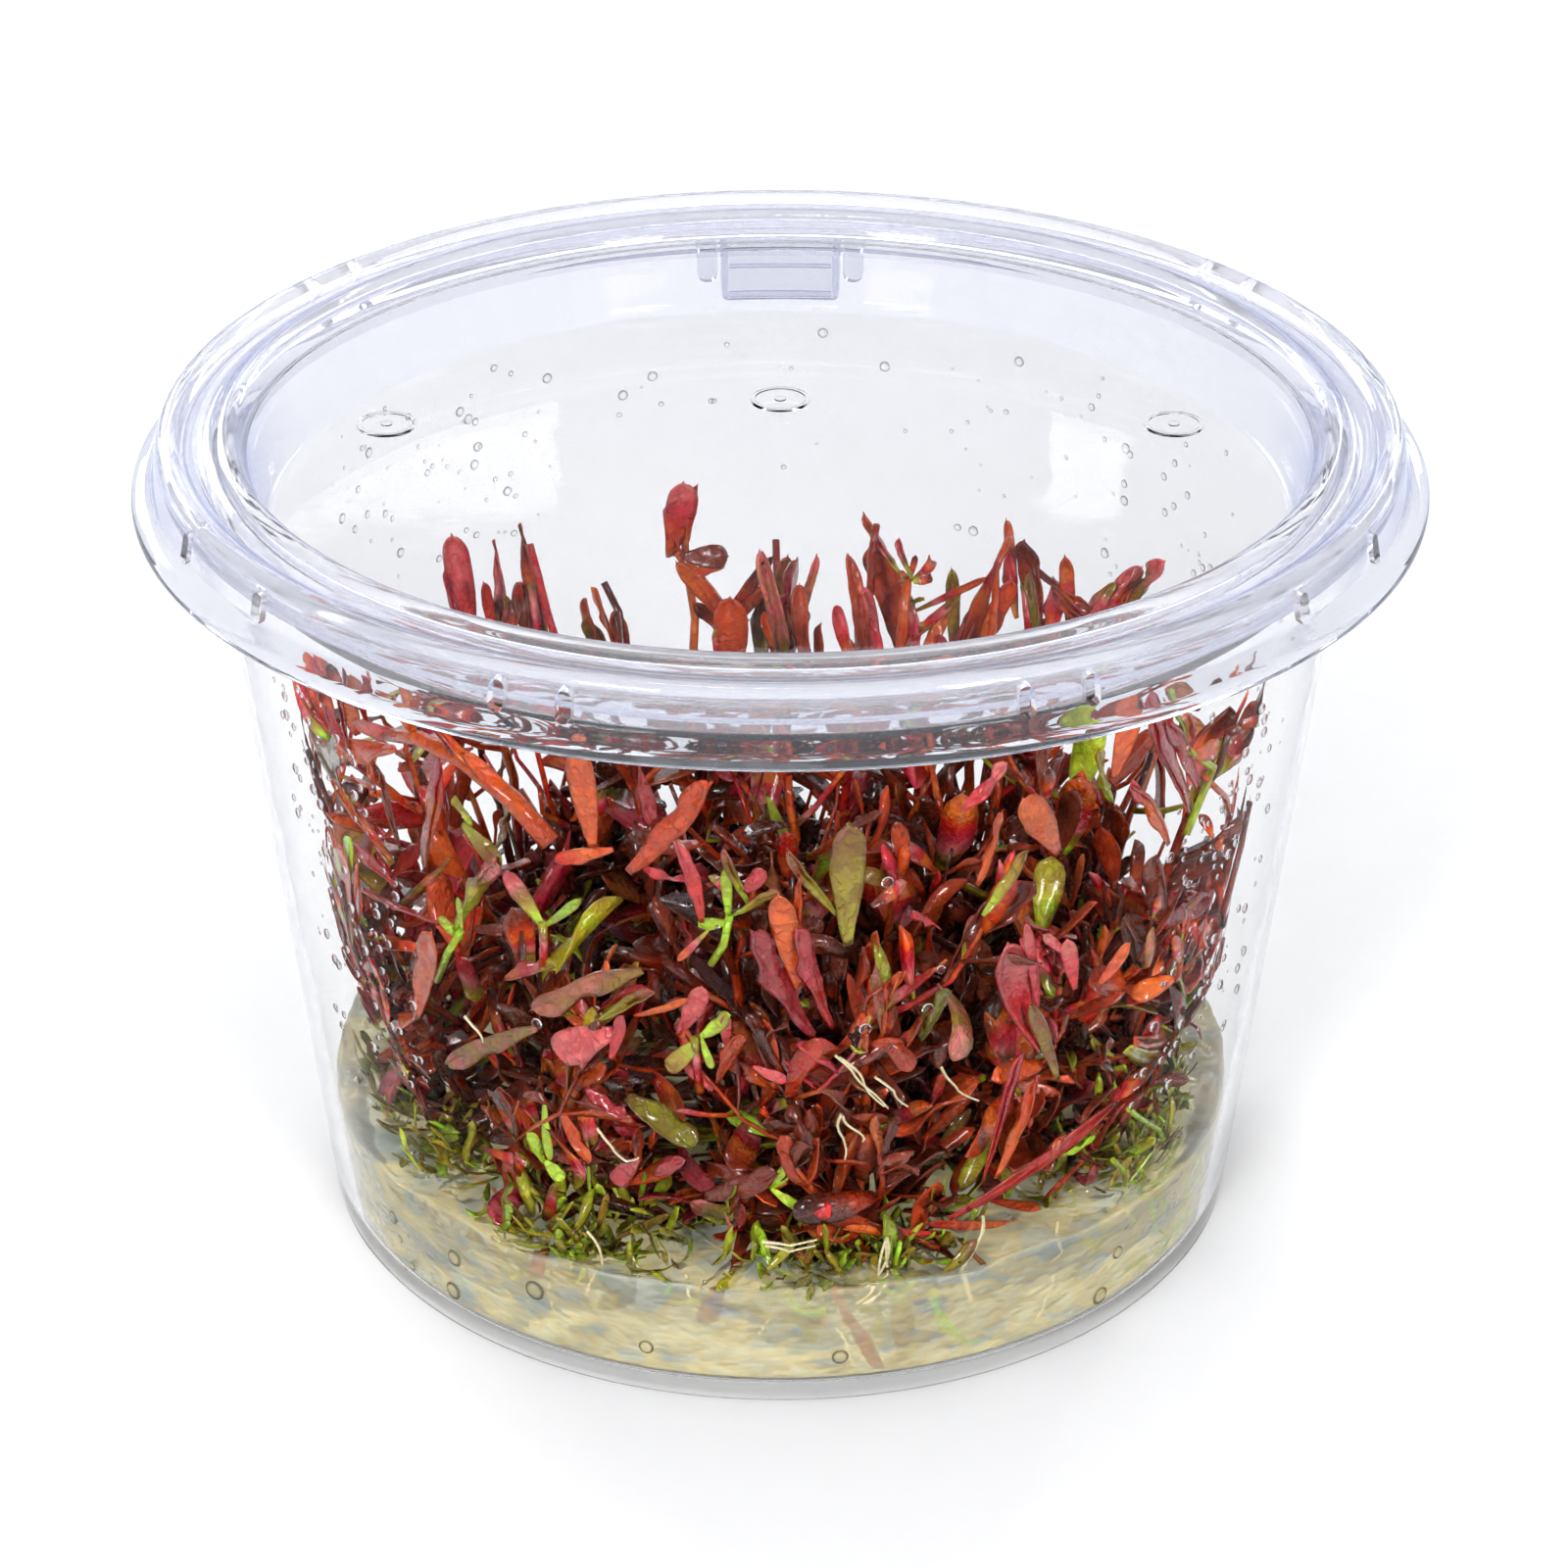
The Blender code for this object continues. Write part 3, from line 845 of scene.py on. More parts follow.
def make_leaf_finish(name):
    """The finish of all leaves and stems, steered by the two attributes."""
    made, tree, shader = new_material(
        name, IOR=1.25, Coat_Weight=1.0, Coat_Roughness=0.09, Coat_IOR=1.6,
    )
    tone = read_attribute(tree, "leaf_tone")
    place = read_attribute(tree, "leaf_place")
    height, mask = uneven(tree, MOTTLE_SIZE)

    shift = add_node(tree, "MapRange", From_Min=0.25, From_Max=0.75, To_Min=-0.05, To_Max=0.05)
    join(tree, height, shift.inputs["Value"])
    moved = add_node(tree, "Math", operation="ADD")
    join(tree, tone.outputs["Red"], moved.inputs[0])
    join(tree, shift.outputs["Result"], moved.inputs[1])
    colour = bands(tree, moved.outputs[0], LEAF_COLOURS, smooth=False)

    rib = bands(tree, place.outputs["Green"], ((0.0, 1.0), (0.16, 0.0)))
    colour = blend(tree, "MIX", colour, (0.62, 0.26, 0.16), scaled(tree, rib, 0.12))
    fine = uneven(tree, CREASE_SIZE)[0]
    # The crease lines are a relief for the bump, and painted shade that darkens the colour in them.
    crease_relief_and_shade = bands(tree, fine, ((0.40, 0.0), (0.49, 1.0), (0.53, 1.0), (0.62, 0.0)))
    colour = blend(tree, "MULTIPLY", colour, (0.50, 0.36, 0.32), scaled(tree, crease_relief_and_shade, 0.42))
    margin = bands(tree, place.outputs["Green"], ((0.62, 0.0), (1.0, 1.0)))
    colour = blend(tree, "MULTIPLY", colour, (0.50, 0.36, 0.34), scaled(tree, margin, 0.50))
    speckle = bands(tree, mask, ((0.48, 0.0), (0.62, 1.0)))
    blotch = add_node(tree, "Math", operation="MULTIPLY")
    join(tree, speckle, blotch.inputs[0])
    join(tree, tone.outputs["Blue"], blotch.inputs[1])
    colour = blend(tree, "MIX", colour, (0.10, 0.045, 0.02), blotch.outputs[0])
    underside = bands(tree, place.outputs["Blue"], ((0.2, 1.0), (0.8, 0.0)))
    colour = blend(tree, "MIX", colour, (0.52, 0.09, 0.04), scaled(tree, underside, 0.22))
    # The brightness multiplies the colour: a random tone, with painted shade in the tangle's heart and
    # painted light at its sides.
    shade = add_node(tree, "CombineColor")
    for socket in shade.inputs[:3]:
        join(tree, tone.outputs["Green"], socket)
    colour = blend(tree, "MULTIPLY", colour, shade.outputs[0], 1.0)

    join(tree, colour, shader.inputs["Base Color"])
    join(tree, bands(tree, mask, ((0.3, 0.18), (0.7, 0.40))), shader.inputs["Roughness"])
    relief = add_node(tree, "Math", operation="MULTIPLY_ADD")
    relief.inputs[1].default_value = -0.22
    join(tree, crease_relief_and_shade, relief.inputs[0])
    join(tree, height, relief.inputs[2])
    bump(tree, shader, relief.outputs[0], 0.8, 0.0007)
    glow = add_node(tree, "BsdfTranslucent")
    join(tree, blend(tree, "ADD", colour, colour, 0.5), glow.inputs["Color"])
    mix = add_node(tree, "MixShader")
    mix.inputs[0].default_value = 0.30
    join(tree, shader.outputs[0], mix.inputs[1])
    join(tree, glow.outputs[0], mix.inputs[2])
    join(tree, mix.outputs[0], tree.nodes["Material Output"].inputs["Surface"])
    return made


LEAF_FINISH = make_leaf_finish("wet red leaf")
print("leaf finish has", len(LEAF_FINISH.node_tree.nodes), "nodes")

# %% [markdown]
# ## Kinds of leaf
# A rotala leaf is a small spoon: a narrow foot, the widest part past the middle and a blunt round
# tip. In the cup they are folded, rolled, curled and twisted every way. Each kind is a grid of a
# few faces, laid along a bent middle line and given a thickness. The grid is made once, and every
# leaf in the cup is a copy of one of these kinds. The kinds are made again with more faces and a
# crumpled blade, for the leaves that catch the eye.

# %% Kinds of leaf
COARSE_CUTS = (2, 8)
FINE_CUTS = (6, 16)
LEAF_THICK = 0.024
CRUMPLE = 0.45
WIDEST_FROM = 0.66


def spoon_width(along):
    """Share of a leaf's full width at a way along it: narrow foot, round tip."""
    if along < WIDEST_FROM:
        rise = along / WIDEST_FROM
        return 0.26 + 0.74 * rise ** 1.2 * (2 - rise)
    return math.sqrt(max(0.10, 1 - max(0.0, (along - 0.80) / 0.21) ** 2))


def spike_width(along):
    """The same for a young leaf that hasn't opened, widest low down and pointed."""
    return max(0.06, math.sin(math.pi * min(1.0, 0.22 + 0.80 * along)) ** 0.8)


def make_leaf_kind(name, half_width, fold, curl, twist, wave, shape=spoon_width, fine=False):
    """A leaf 1 long. Fold, curl and twist in radians, wave as a share of the width."""
    bm = bmesh.new()
    across_cuts, along_cuts = FINE_CUTS if fine else COARSE_CUTS
    bmesh.ops.create_grid(bm, x_segments=across_cuts, y_segments=along_cuts, size=0.5)
    place = bm.verts.layers.float_color.new("leaf_place")
    tone = bm.verts.layers.float_color.new("leaf_tone")
    for vert in bm.verts:
        across = vert.co.x * 2
        along = 1 - (0.5 - vert.co.y) ** 1.25
        vert[place] = (along, abs(across), 1.0, 1.0)
        vert[tone] = (0.3, 1.0, 0.0, 1.0)
        wide = half_width * shape(along)
        bend = curl * along
        middle = Vector((0.0, math.sin(bend), 1 - math.cos(bend))) / curl
        if abs(across) < 0.01 and along > 0.99:
            middle *= 1.03
        lift = abs(across) * math.sin(fold) + wave * math.sin(10.0 * along + across) * abs(across)
        if fine:
            spot = Vector((across * 0.9, along * 3.2, len(name) * 1.7))
            lift += (noise.noise(spot) + 0.6 * noise.noise(spot * 2.3)) * CRUMPLE
        offset = Vector((across * math.cos(fold), lift)) * wide
        offset.rotate(Matrix.Rotation(twist * along, 2))
        vert.co = middle + Vector((offset.x, -offset.y * math.sin(bend), offset.y * math.cos(bend)))
    bmesh.ops.recalc_face_normals(bm, faces=bm.faces[:])
    before = set(bm.verts)
    bmesh.ops.solidify(bm, geom=bm.faces[:], thickness=LEAF_THICK)
    for vert in bm.verts:
        if vert not in before:
            vert[place] = (vert[place][0], vert[place][1], 0.0, 1.0)
    bmesh.ops.recalc_face_normals(bm, faces=bm.faces[:])
    mesh = to_mesh(name, bm)
    mesh["curl"] = curl
    return mesh


KIND_SHAPES = {
    "spoon": (0.160, 0.25, 0.40, 0.1, 0.06),
    "rising": (0.165, 0.40, 1.10, 0.3, 0.08),
    "drooping": (0.160, 0.30, -0.90, -0.2, 0.08),
    "rolled": (0.165, 1.10, 0.40, 0.5, 0.05),
    "twisted": (0.155, 0.50, -0.40, 1.5, 0.12),
    "strap": (0.100, 0.40, 0.25, -0.3, 0.06),
    "waved": (0.170, 0.20, 0.60, 0.2, 0.40),
    "hooked": (0.150, 0.60, 1.90, -0.4, 0.10),
    "round": (0.210, 0.20, -0.35, 0.2, 0.12),
    "crumpled": (0.160, 0.75, -1.50, 1.0, 0.35),
    "spike": (0.120, 0.70, 0.30, 0.2, 0.05, spike_width),
}
LEAF_KINDS = {name: make_leaf_kind(name, *shape) for name, shape in KIND_SHAPES.items()}
FINE_KINDS = {name: make_leaf_kind(name, *shape, fine=True) for name, shape in KIND_SHAPES.items()}
KIND_SHARES = (6, 6, 5, 5, 5, 6, 4, 3, 4, 3, 2)
faces_each = [len(kinds["spoon"].polygons) for kinds in (LEAF_KINDS, FINE_KINDS)]
print(len(LEAF_KINDS), "kinds of leaf with", faces_each[0], "or", faces_each[1], "faces each")

# %% [markdown]
# ## Placing a leaf
# A leaf is put in place by a frame of three directions: across it, along it and out of its upper
# side. Its points are then eased back from the cup's wall, as the growing plants were, and low
# down the tangle is eased in further, like a bowl. Copying a small mesh and joining it into a
# bigger one is much faster than running operators on the big one.

# %% Placing helpers
WALL_CLEAR = 3.2
WALL_EASE = 3.0
WALL_LAST = 0.4
CEILING_Z = 67.0
BOWL_Z = 27.0
BOWL_SLOPE = 0.30
SUNK = 0.2
SINK_EASE = 0.8


def keep_inside(spot, clear=WALL_CLEAR, sunk=SUNK, bowl=BOWL_SLOPE):
    """Eases a point in mm back from the wall, the lid and a depth in the gel."""
    out = from_axis(spot)
    inset = bowl * max(0.0, BOWL_Z - spot.z) * abs(spot.x) / max(out, 1.0)
    limit = inner_radius(spot.z) - clear - WALL_EASE - inset
    if out > limit:
        eased = limit + WALL_EASE * (1 - math.exp(-(out - limit) / WALL_EASE))
        eased = min(eased, inner_radius(spot.z) - WALL_LAST)
        spot.x *= eased / out
        spot.y *= eased / out
    spot.z = min(spot.z, CEILING_Z)
    low = GEL_TOP_Z - sunk
    if spot.z < low:
        spot.z = low - SINK_EASE * (1 - math.exp((spot.z - low) / SINK_EASE))
    return spot


def leaf_frame(direction, up):
    """Directions across, along and out of a leaf, as the columns of a matrix."""
    along = direction.normalized()
    across = along.cross(up)
    if across.length < 0.05:
        across = along.orthogonal()
    across.normalize()
    return Matrix((across, along, across.cross(along))).transposed()


def start_bunch():
    """An empty bmesh with the two colour attributes of the leaf finish."""
    bm = bmesh.new()
    bm.verts.layers.float_color.new("leaf_place")
    bm.verts.layers.float_color.new("leaf_tone")
    return bm


def add_leaf(
    bm, kind, foot, direction, up, length, width, tones, shade, blotch, kinds=LEAF_KINDS, limits=(),
):
    """Joins a copy of a leaf kind into a bunch. Foot and length in mm, tones at foot and tip."""
    mesh = kinds[kind].copy()
    turn = leaf_frame(direction, up)
    where = mesh.attributes["leaf_place"].data
    tone = mesh.attributes["leaf_tone"].data
    for vert, place, mark in zip(mesh.vertices, where, tone):
        spot = foot + turn @ Vector((vert.co.x * width, vert.co.y, vert.co.z)) * length
        vert.co = keep_inside(spot, *limits) * MM
        part = min(1.0, max(0.0, place.color[0] * 1.5 - 0.3))
        mark.color = (tones[0] * (1 - part) + tones[1] * part, shade, blotch * part, 1.0)
    drop_in(bm, mesh)


def add_tube(bm, path, thick, thin, tones, shade=1.0, sides=6, free=False):
    """A tapered stem along a path in mm, its end face extruded step by step and its foot closed.

    A free path isn't eased back from wall, lid and gel.
    """
    part_bm = start_bunch()
    place = part_bm.verts.layers.float_color["leaf_place"]
    tone = part_bm.verts.layers.float_color["leaf_tone"]
    ring = bmesh.ops.create_circle(part_bm, cap_ends=True, segments=sides, radius=1.0)["verts"]
    face = ring[0].link_faces[0]
    old = Matrix.Identity(4)
    up = Vector((0.3, 0.5, 0.8))
    last = len(path) - 1
    for step, spot in enumerate(path):
        if step:
            face = bmesh.ops.extrude_discrete_faces(part_bm, faces=[face])["faces"][0]
        ahead = path[min(step + 1, last)] - path[max(step - 1, 0)]
        turn = leaf_frame(ahead, up)
        up = turn.col[2].copy()
        part = step / last
        size = thick * (1 - part) + thin * part
        basis = Matrix((turn.col[0], turn.col[2], -turn.col[1])).transposed().to_4x4()
        middle = spot if free else keep_inside(spot.copy())
        new = Matrix.Translation(middle) @ basis @ Matrix.Scale(size, 4)
        bmesh.ops.transform(part_bm, matrix=new @ old.inverted(), verts=face.verts[:])
        old = new
        for vert in face.verts:
            vert[place] = (part, 0.8, 1.0, 1.0)
            vert[tone] = (tones[0] * (1 - part) + tones[1] * part, shade, 0.0, 1.0)
    bmesh.ops.holes_fill(part_bm, edges=part_bm.edges[:], sides=sides)
    bmesh.ops.scale(part_bm, vec=(MM, MM, MM), verts=part_bm.verts[:])
    bmesh.ops.recalc_face_normals(part_bm, faces=part_bm.faces[:])
    drop_in(bm, to_mesh("tube", part_bm))


print("leaves are eased back to", WALL_CLEAR, "mm from the wall, from", WALL_CLEAR + WALL_EASE, "mm on")

# %% [markdown]
# ## Growth of a shoot
# Rotala carries its leaves in opposite pairs, each pair turned a quarter from the one below. The
# same rule makes a main shoot and a side shoot. Leaves stand out flat low on the stem and close up
# to a bud at its tip. Dark brick reds are commonest, with some orange, crimson, pink and olive.
# The heart of the tangle gets little light, so painted shade darkens its leaves and painted light
# brightens its sides. Ten ovals of the picture, where the photograph shows white between the
# shoots, stay free of leaves.

# %% Growth of a shoot
TONE_SHARES = {
    0.02: 14, 0.08: 14, 0.14: 14, 0.22: 14, 0.30: 13, 0.38: 12, 0.45: 9,
    0.58: 7, 0.66: 7, 0.74: 4, 0.84: 14, 0.92: 6, 0.99: 3,
}
SIGHT_SLOPE = 0.53
MASS_TOP = 54.0
THIN_FROM = 34.0
SIDE_LIGHT = 0.85
TANGLE_R = 38.0
TANGLE_HIGH = 34.0
SHADE_MOST = 1.3
STEM_TONES = (0.30, 0.40, 0.46, 0.62, 0.88)
GAPS = (
    (530, 778, 44, 24),
    (542, 826, 30, 24),
    (516, 862, 22, 20),
    (690, 826, 22, 40),
    (745, 852, 20, 24),
    (835, 815, 24, 32),
    (980, 812, 34, 54),
    (1168, 825, 28, 68),
    (1108, 752, 30, 18),
    (640, 765, 30, 16),
)


def pick_tone(rng, centre, spread=0.07):
    """A tone near a shoot's own, or now and then any tone of the scale."""
    if rng.random() < 0.5:
        return min(1.0, max(0.0, rng.gauss(centre, spread)))
    return rng.choices(list(TONE_SHARES), list(TONE_SHARES.values()))[0] + rng.uniform(-0.03, 0.03)


def nudge(rng, reach):
    """A random vector, up to a reach along each axis."""
    return Vector([rng.uniform(-reach, reach) for _ in range(3)])


def over_mass(spot):
    """True above the sloping top of the tangle, where only the tall shoots stand."""
    return spot.z + SIGHT_SLOPE * spot.y > MASS_TOP


def thin_out(spot):
    """Share of the leaves that is missing at a place: few low down, many near the top."""
    high = (spot.z + SIGHT_SLOPE * spot.y - THIN_FROM) / (MASS_TOP - THIN_FROM)
    return 0.05 + 0.60 * min(1.0, max(0.0, high))


def in_gap(spot):
    """True where the picture shows white between the shoots, for a spot in mm."""
    ahead = spot - CAMERA_PLACE / MM
    depth = ahead.y * math.cos(CAMERA_PITCH) - ahead.z * math.sin(CAMERA_PITCH)
    above = ahead.y * math.sin(CAMERA_PITCH) + ahead.z * math.cos(CAMERA_PITCH)
    x = AXIS_PIXEL + FOCAL_PIXELS * ahead.x / depth
    y = PHOTO_HEIGHT / 2 - FOCAL_PIXELS * above / depth
    return any(((x - gap_x) / wide) ** 2 + ((y - gap_y) / high) ** 2 < 1 for gap_x, gap_y, wide, high in GAPS)


def heart_shade(spot):
    """Painted shade and light: leaves darker towards the middle and foot of the tangle, lighter at its sides.
    """
    out = from_axis(spot) / TANGLE_R
    high = (spot.z - GEL_TOP_Z) / TANGLE_HIGH
    side = 1.0 + SIDE_LIGHT * min(1.0, abs(spot.x) / TANGLE_R) ** 2
    return (0.11 + 0.96 * min(1.0, max(out ** 2, high))) * side


def curve_point(curve, part):
    """A point on a curve through three guide points."""
    start, bend, end = curve
    return start * (1 - part) ** 2 + bend * (2 * part * (1 - part)) + end * part ** 2


def grow_shoot(bm, rng, curve, first, spacing, leaf_length, tone, thick, side_shoots=0.0):
    """A stem with its pairs of leaves. Returns how many leaves it made."""
    marks_on = [curve_point(curve, step / 8) for step in range(9)]
    length = sum((after - before).length for before, after in zip(marks_on, marks_on[1:]))
    steps = max(4, int(length / 4))
    sway = [nudge(rng, 0.5) for _ in range(steps + 1)]
    path = [curve_point(curve, step / steps) + sway[step] * min(step, 2) / 2 for step in range(steps + 1)]
    stem_tone = rng.choice(STEM_TONES)
    add_tube(bm, path, thick, thick * 0.6, (stem_tone, tone), 0.9)
    levels = max(2, int(length * (1 - first) / spacing))
    quarter = rng.uniform(0, math.tau)
    made = 0
    for level in range(levels + 1):
        part = first + (1 - first) * level / levels
        foot = curve_point(curve, part)
        tangent = (curve_point(curve, min(part + 0.03, 1.03)) - curve_point(curve, part - 0.03)).normalized()
        quarter += math.pi / 2 + rng.uniform(-0.5, 0.5)
        side = tangent.orthogonal().normalized()
        side.rotate(Matrix.Rotation(quarter, 3, tangent))
        for sign in (-1, 1):
            lean = math.radians(84 - 58 * part ** 1.5 + rng.uniform(-26, 20))
            out = (side * sign + nudge(rng, 0.35)).normalized()
            direction = tangent * math.cos(lean) + out * math.sin(lean)
            up = tangent * math.sin(lean) - out * math.cos(lean)
            size = leaf_length * rng.uniform(0.60, 1.25) * (1.0 - 0.40 * max(0.0, part - 0.8) / 0.2)
            kind = rng.choices(list(LEAF_KINDS), KIND_SHARES)[0]
            tip = pick_tone(rng, tone)
            base = tip if rng.random() < 0.55 else pick_tone(rng, rng.choice((0.30, 0.88, 0.95)), 0.05)
            shade = min(SHADE_MOST, heart_shade(foot) * rng.uniform(0.55, 1.25))
            width = rng.uniform(0.75, 1.25)
            blotch = rng.choice((0.0, 0.2, 0.7))
            tip_spot = foot + direction * size
            if over_mass(foot + direction * size * 0.8) or rng.random() < thin_out(foot):
                continue
            if in_gap(tip_spot) or in_gap(foot) or in_gap((foot + tip_spot) / 2):
                continue
            add_leaf(bm, kind, foot, direction, up, size, width, (base, tip), shade, blotch)
            made += 1
        if part < 0.85 and rng.random() < side_shoots:
            reach = rng.uniform(9, 18)
            out = (side * rng.choice((-1, 1)) + tangent * 0.4).normalized()
            bend = foot + out * reach * 0.55
            end = bend + (out * 0.3 + Vector((0, 0, 0.8))) * reach * 0.6
            if not over_mass(end):
                twig = (foot, bend, end)
                twig_tone = pick_tone(rng, tone)
                made += grow_shoot(bm, rng, twig, 0.25, 2.8, leaf_length * 0.75, twig_tone, thick * 0.6)
    return made


print("tones:", len(TONE_SHARES), "and gaps:", len(GAPS))

# %% [markdown]
# ## The 27 rooted plantlets
# The plantlets stand where the solids stand: the same feet, tips and bends, with the sizes
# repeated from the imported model. Ten tall ones are placed by the photograph, and the others stand
# on a spiral, each a golden angle from the last. Each has three branches from its foot, and its
# own seed, so it keeps its leaves when another is changed.

# %% Plantlets
PLANTLETS = 27
FOOT_Z = GEL_TOP_Z + 0.3
FIELD_R = 35.0
GOLDEN_ANGLE = math.radians(137.508)
MIDDLE_TIP_Z = 51.0
EDGE_DROP = 15.0
HEIGHT_SPREAD = 4.0
TALL_STEMS = {
    1: ((-6, 9), (-9.8, 18, 62)),
    4: ((6, 12), (9, 15, 60.5)),
    9: ((17, 8), (21.5, 15, 59.5)),
    6: ((-17, 10), (-24.5, 15, 58.5)),
    12: ((-24, 14), (-31.5, 17, 56)),
    3: ((-12, 2), (-16.5, 10, 57)),
    7: ((0, 16), (-0.6, 22, 56)),
    19: ((25, 10), (34.5, 16, 55)),
    17: ((-22, -4), (-43, -13, 55)),
    24: ((33, -6), (41, -12, 53)),
}
SHOOT_TONES = (0.06, 0.10, 0.18, 0.26, 0.34, 0.42, 0.60)
BRANCHES = 3


def stem_curve(number):
    """Foot, bend and tip of a plantlet, in mm."""
    if number in TALL_STEMS:
        (foot_x, foot_y), tip = TALL_STEMS[number]
        foot = Vector((foot_x, foot_y, FOOT_Z))
        tip = Vector(tip)
    else:
        turn = number * GOLDEN_ANGLE
        out = FIELD_R * math.sqrt((number + 0.5) / PLANTLETS)
        side = Vector((math.cos(turn), math.sin(turn), 0.0))
        height = MIDDLE_TIP_Z - EDGE_DROP * (out / FIELD_R) ** 2 + HEIGHT_SPREAD * math.sin(3.1 * number)
        foot = side * out + Vector((0, 0, FOOT_Z))
        tip = side * (out * 1.08 + 2.0) + Vector((0, 0, height))
    bend = Vector((foot.x * 0.75 + tip.x * 0.25, foot.y * 0.75 + tip.y * 0.25, foot.z * 0.4 + tip.z * 0.6))
    return foot, bend, tip


def branch_curve(rng, curve):
    """A branch from the foot of a plantlet, which ends at a random place beside the main tip."""
    foot, _, tip = curve
    turn = rng.uniform(0, math.tau)
    reach = rng.uniform(5, 13)
    height = foot.z + (min(tip.z, 50.0) - foot.z) * rng.uniform(0.30, 0.95)
    end = Vector((tip.x + reach * math.cos(turn), tip.y + reach * math.sin(turn), height))
    middle = Vector((foot.x * 0.5 + end.x * 0.5, foot.y * 0.5 + end.y * 0.5, foot.z * 0.6 + end.z * 0.4))
    return foot, middle, end


leaf_count = 0
for number in range(PLANTLETS):
    rng = random.Random(500 + number)
    bunch = start_bunch()
    main = stem_curve(number)
    leaf_count += grow_shoot(bunch, rng, main, 0.06, 3.4, 10.0, rng.choice(SHOOT_TONES), 0.6, 0.5)
    for branch in range(BRANCHES):
        curve = branch_curve(rng, main)
        leaf_count += grow_shoot(bunch, rng, curve, 0.04, 3.2, 9.0, rng.choice(SHOOT_TONES), 0.45, 0.3)
    node_name = f"plantlet_{number + 1:02d}"
    finish_piece(f"rotala_{number + 1:02d}", bunch, LEAF_FINISH, [node_name], sharp=0)
print(PLANTLETS, "plantlets with", leaf_count, "leaves")

# %% [markdown]
# ## Lines of sight
# The leaves that catch the eye in the photograph are placed one by one, by points read off the
# picture. A line of sight goes from the camera through such a point. What shows over the rim
# stands on a plane across the cup, and what shows in front hangs just inside the cup's wall, so
# the point where the line meets the plane or the wall is the place in the cup.

# %% Lines of sight
FRONT_GAP = 3.5


def sight(x, y):
    """Camera place in mm and the direction through a picture point."""
    right = Vector((1, 0, 0))
    up = Vector((0, math.sin(CAMERA_PITCH), math.cos(CAMERA_PITCH)))
    ahead = right.cross(up) * -1
    aside = right * ((x - AXIS_PIXEL) / FOCAL_PIXELS)
    above = up * ((PHOTO_HEIGHT / 2 - y) / FOCAL_PIXELS)
    return CAMERA_PLACE / MM, ahead + aside + above


def at_depth(x, y, depth):
    """The point seen at a picture point, at a depth Y in mm."""
    start, ray = sight(x, y)
    return start + ray * ((depth - start.y) / ray.y)


def at_wall(x, y, gap=FRONT_GAP):
    """The point seen at a picture point, just inside the front of the cup's wall."""
    depth = -30.0
    for _ in range(25):
        spot = at_depth(x, y, depth)
        inside = (inner_radius(spot.z) - gap) ** 2 - spot.x ** 2
        depth = (depth - math.sqrt(max(0.0, inside))) / 2
    return at_depth(x, y, depth)


print("the middle of the picture looks at", [round(v, 1) for v in at_depth(800, 800, 0.0)])


# %% [markdown]
# ## Leaves over the rim
# Each row gives the foot and the tip of a leaf as points of the picture, then its kind, its width
# in picture points, its tones at foot and tip and its brightness. The leaf turns its upper side to
# the viewer, give or take a little. A curled leaf is longer than the line from foot to tip and
# sets off at half its curl. Each leaf gets a smaller companion, because the real tips are tufts.

# %% Leaves over the rim
POINTS_PER_MM = 11.1
CURL_LENGTH = 1.04


def add_seen_leaf(bm, rng, foot, tip, kind, points_wide, tones, shade=1.0, blotch=0.2, limits=()):
    """A leaf from its foot to its tip, its upper side turned to the viewer with some chance."""
    chord = tip - foot
    length = chord.length * CURL_LENGTH
    view = (CAMERA_PLACE / MM - foot).normalized()
    facing = (view + nudge(rng, 0.45)).normalized()
    ahead = chord.normalized()
    out = (facing - ahead * facing.dot(ahead)).normalized()
    half = LEAF_KINDS[kind]["curl"] / 2
    direction = ahead * math.cos(half) - out * math.sin(half)
    up = ahead * math.sin(half) + out * math.cos(half)
    own = max(abs(vert.co.x) for vert in LEAF_KINDS[kind].vertices) * 2 * length
    wide = points_wide / POINTS_PER_MM / own
    add_leaf(bm, kind, foot, direction, up, length, wide, tones, shade, blotch, FINE_KINDS, limits)


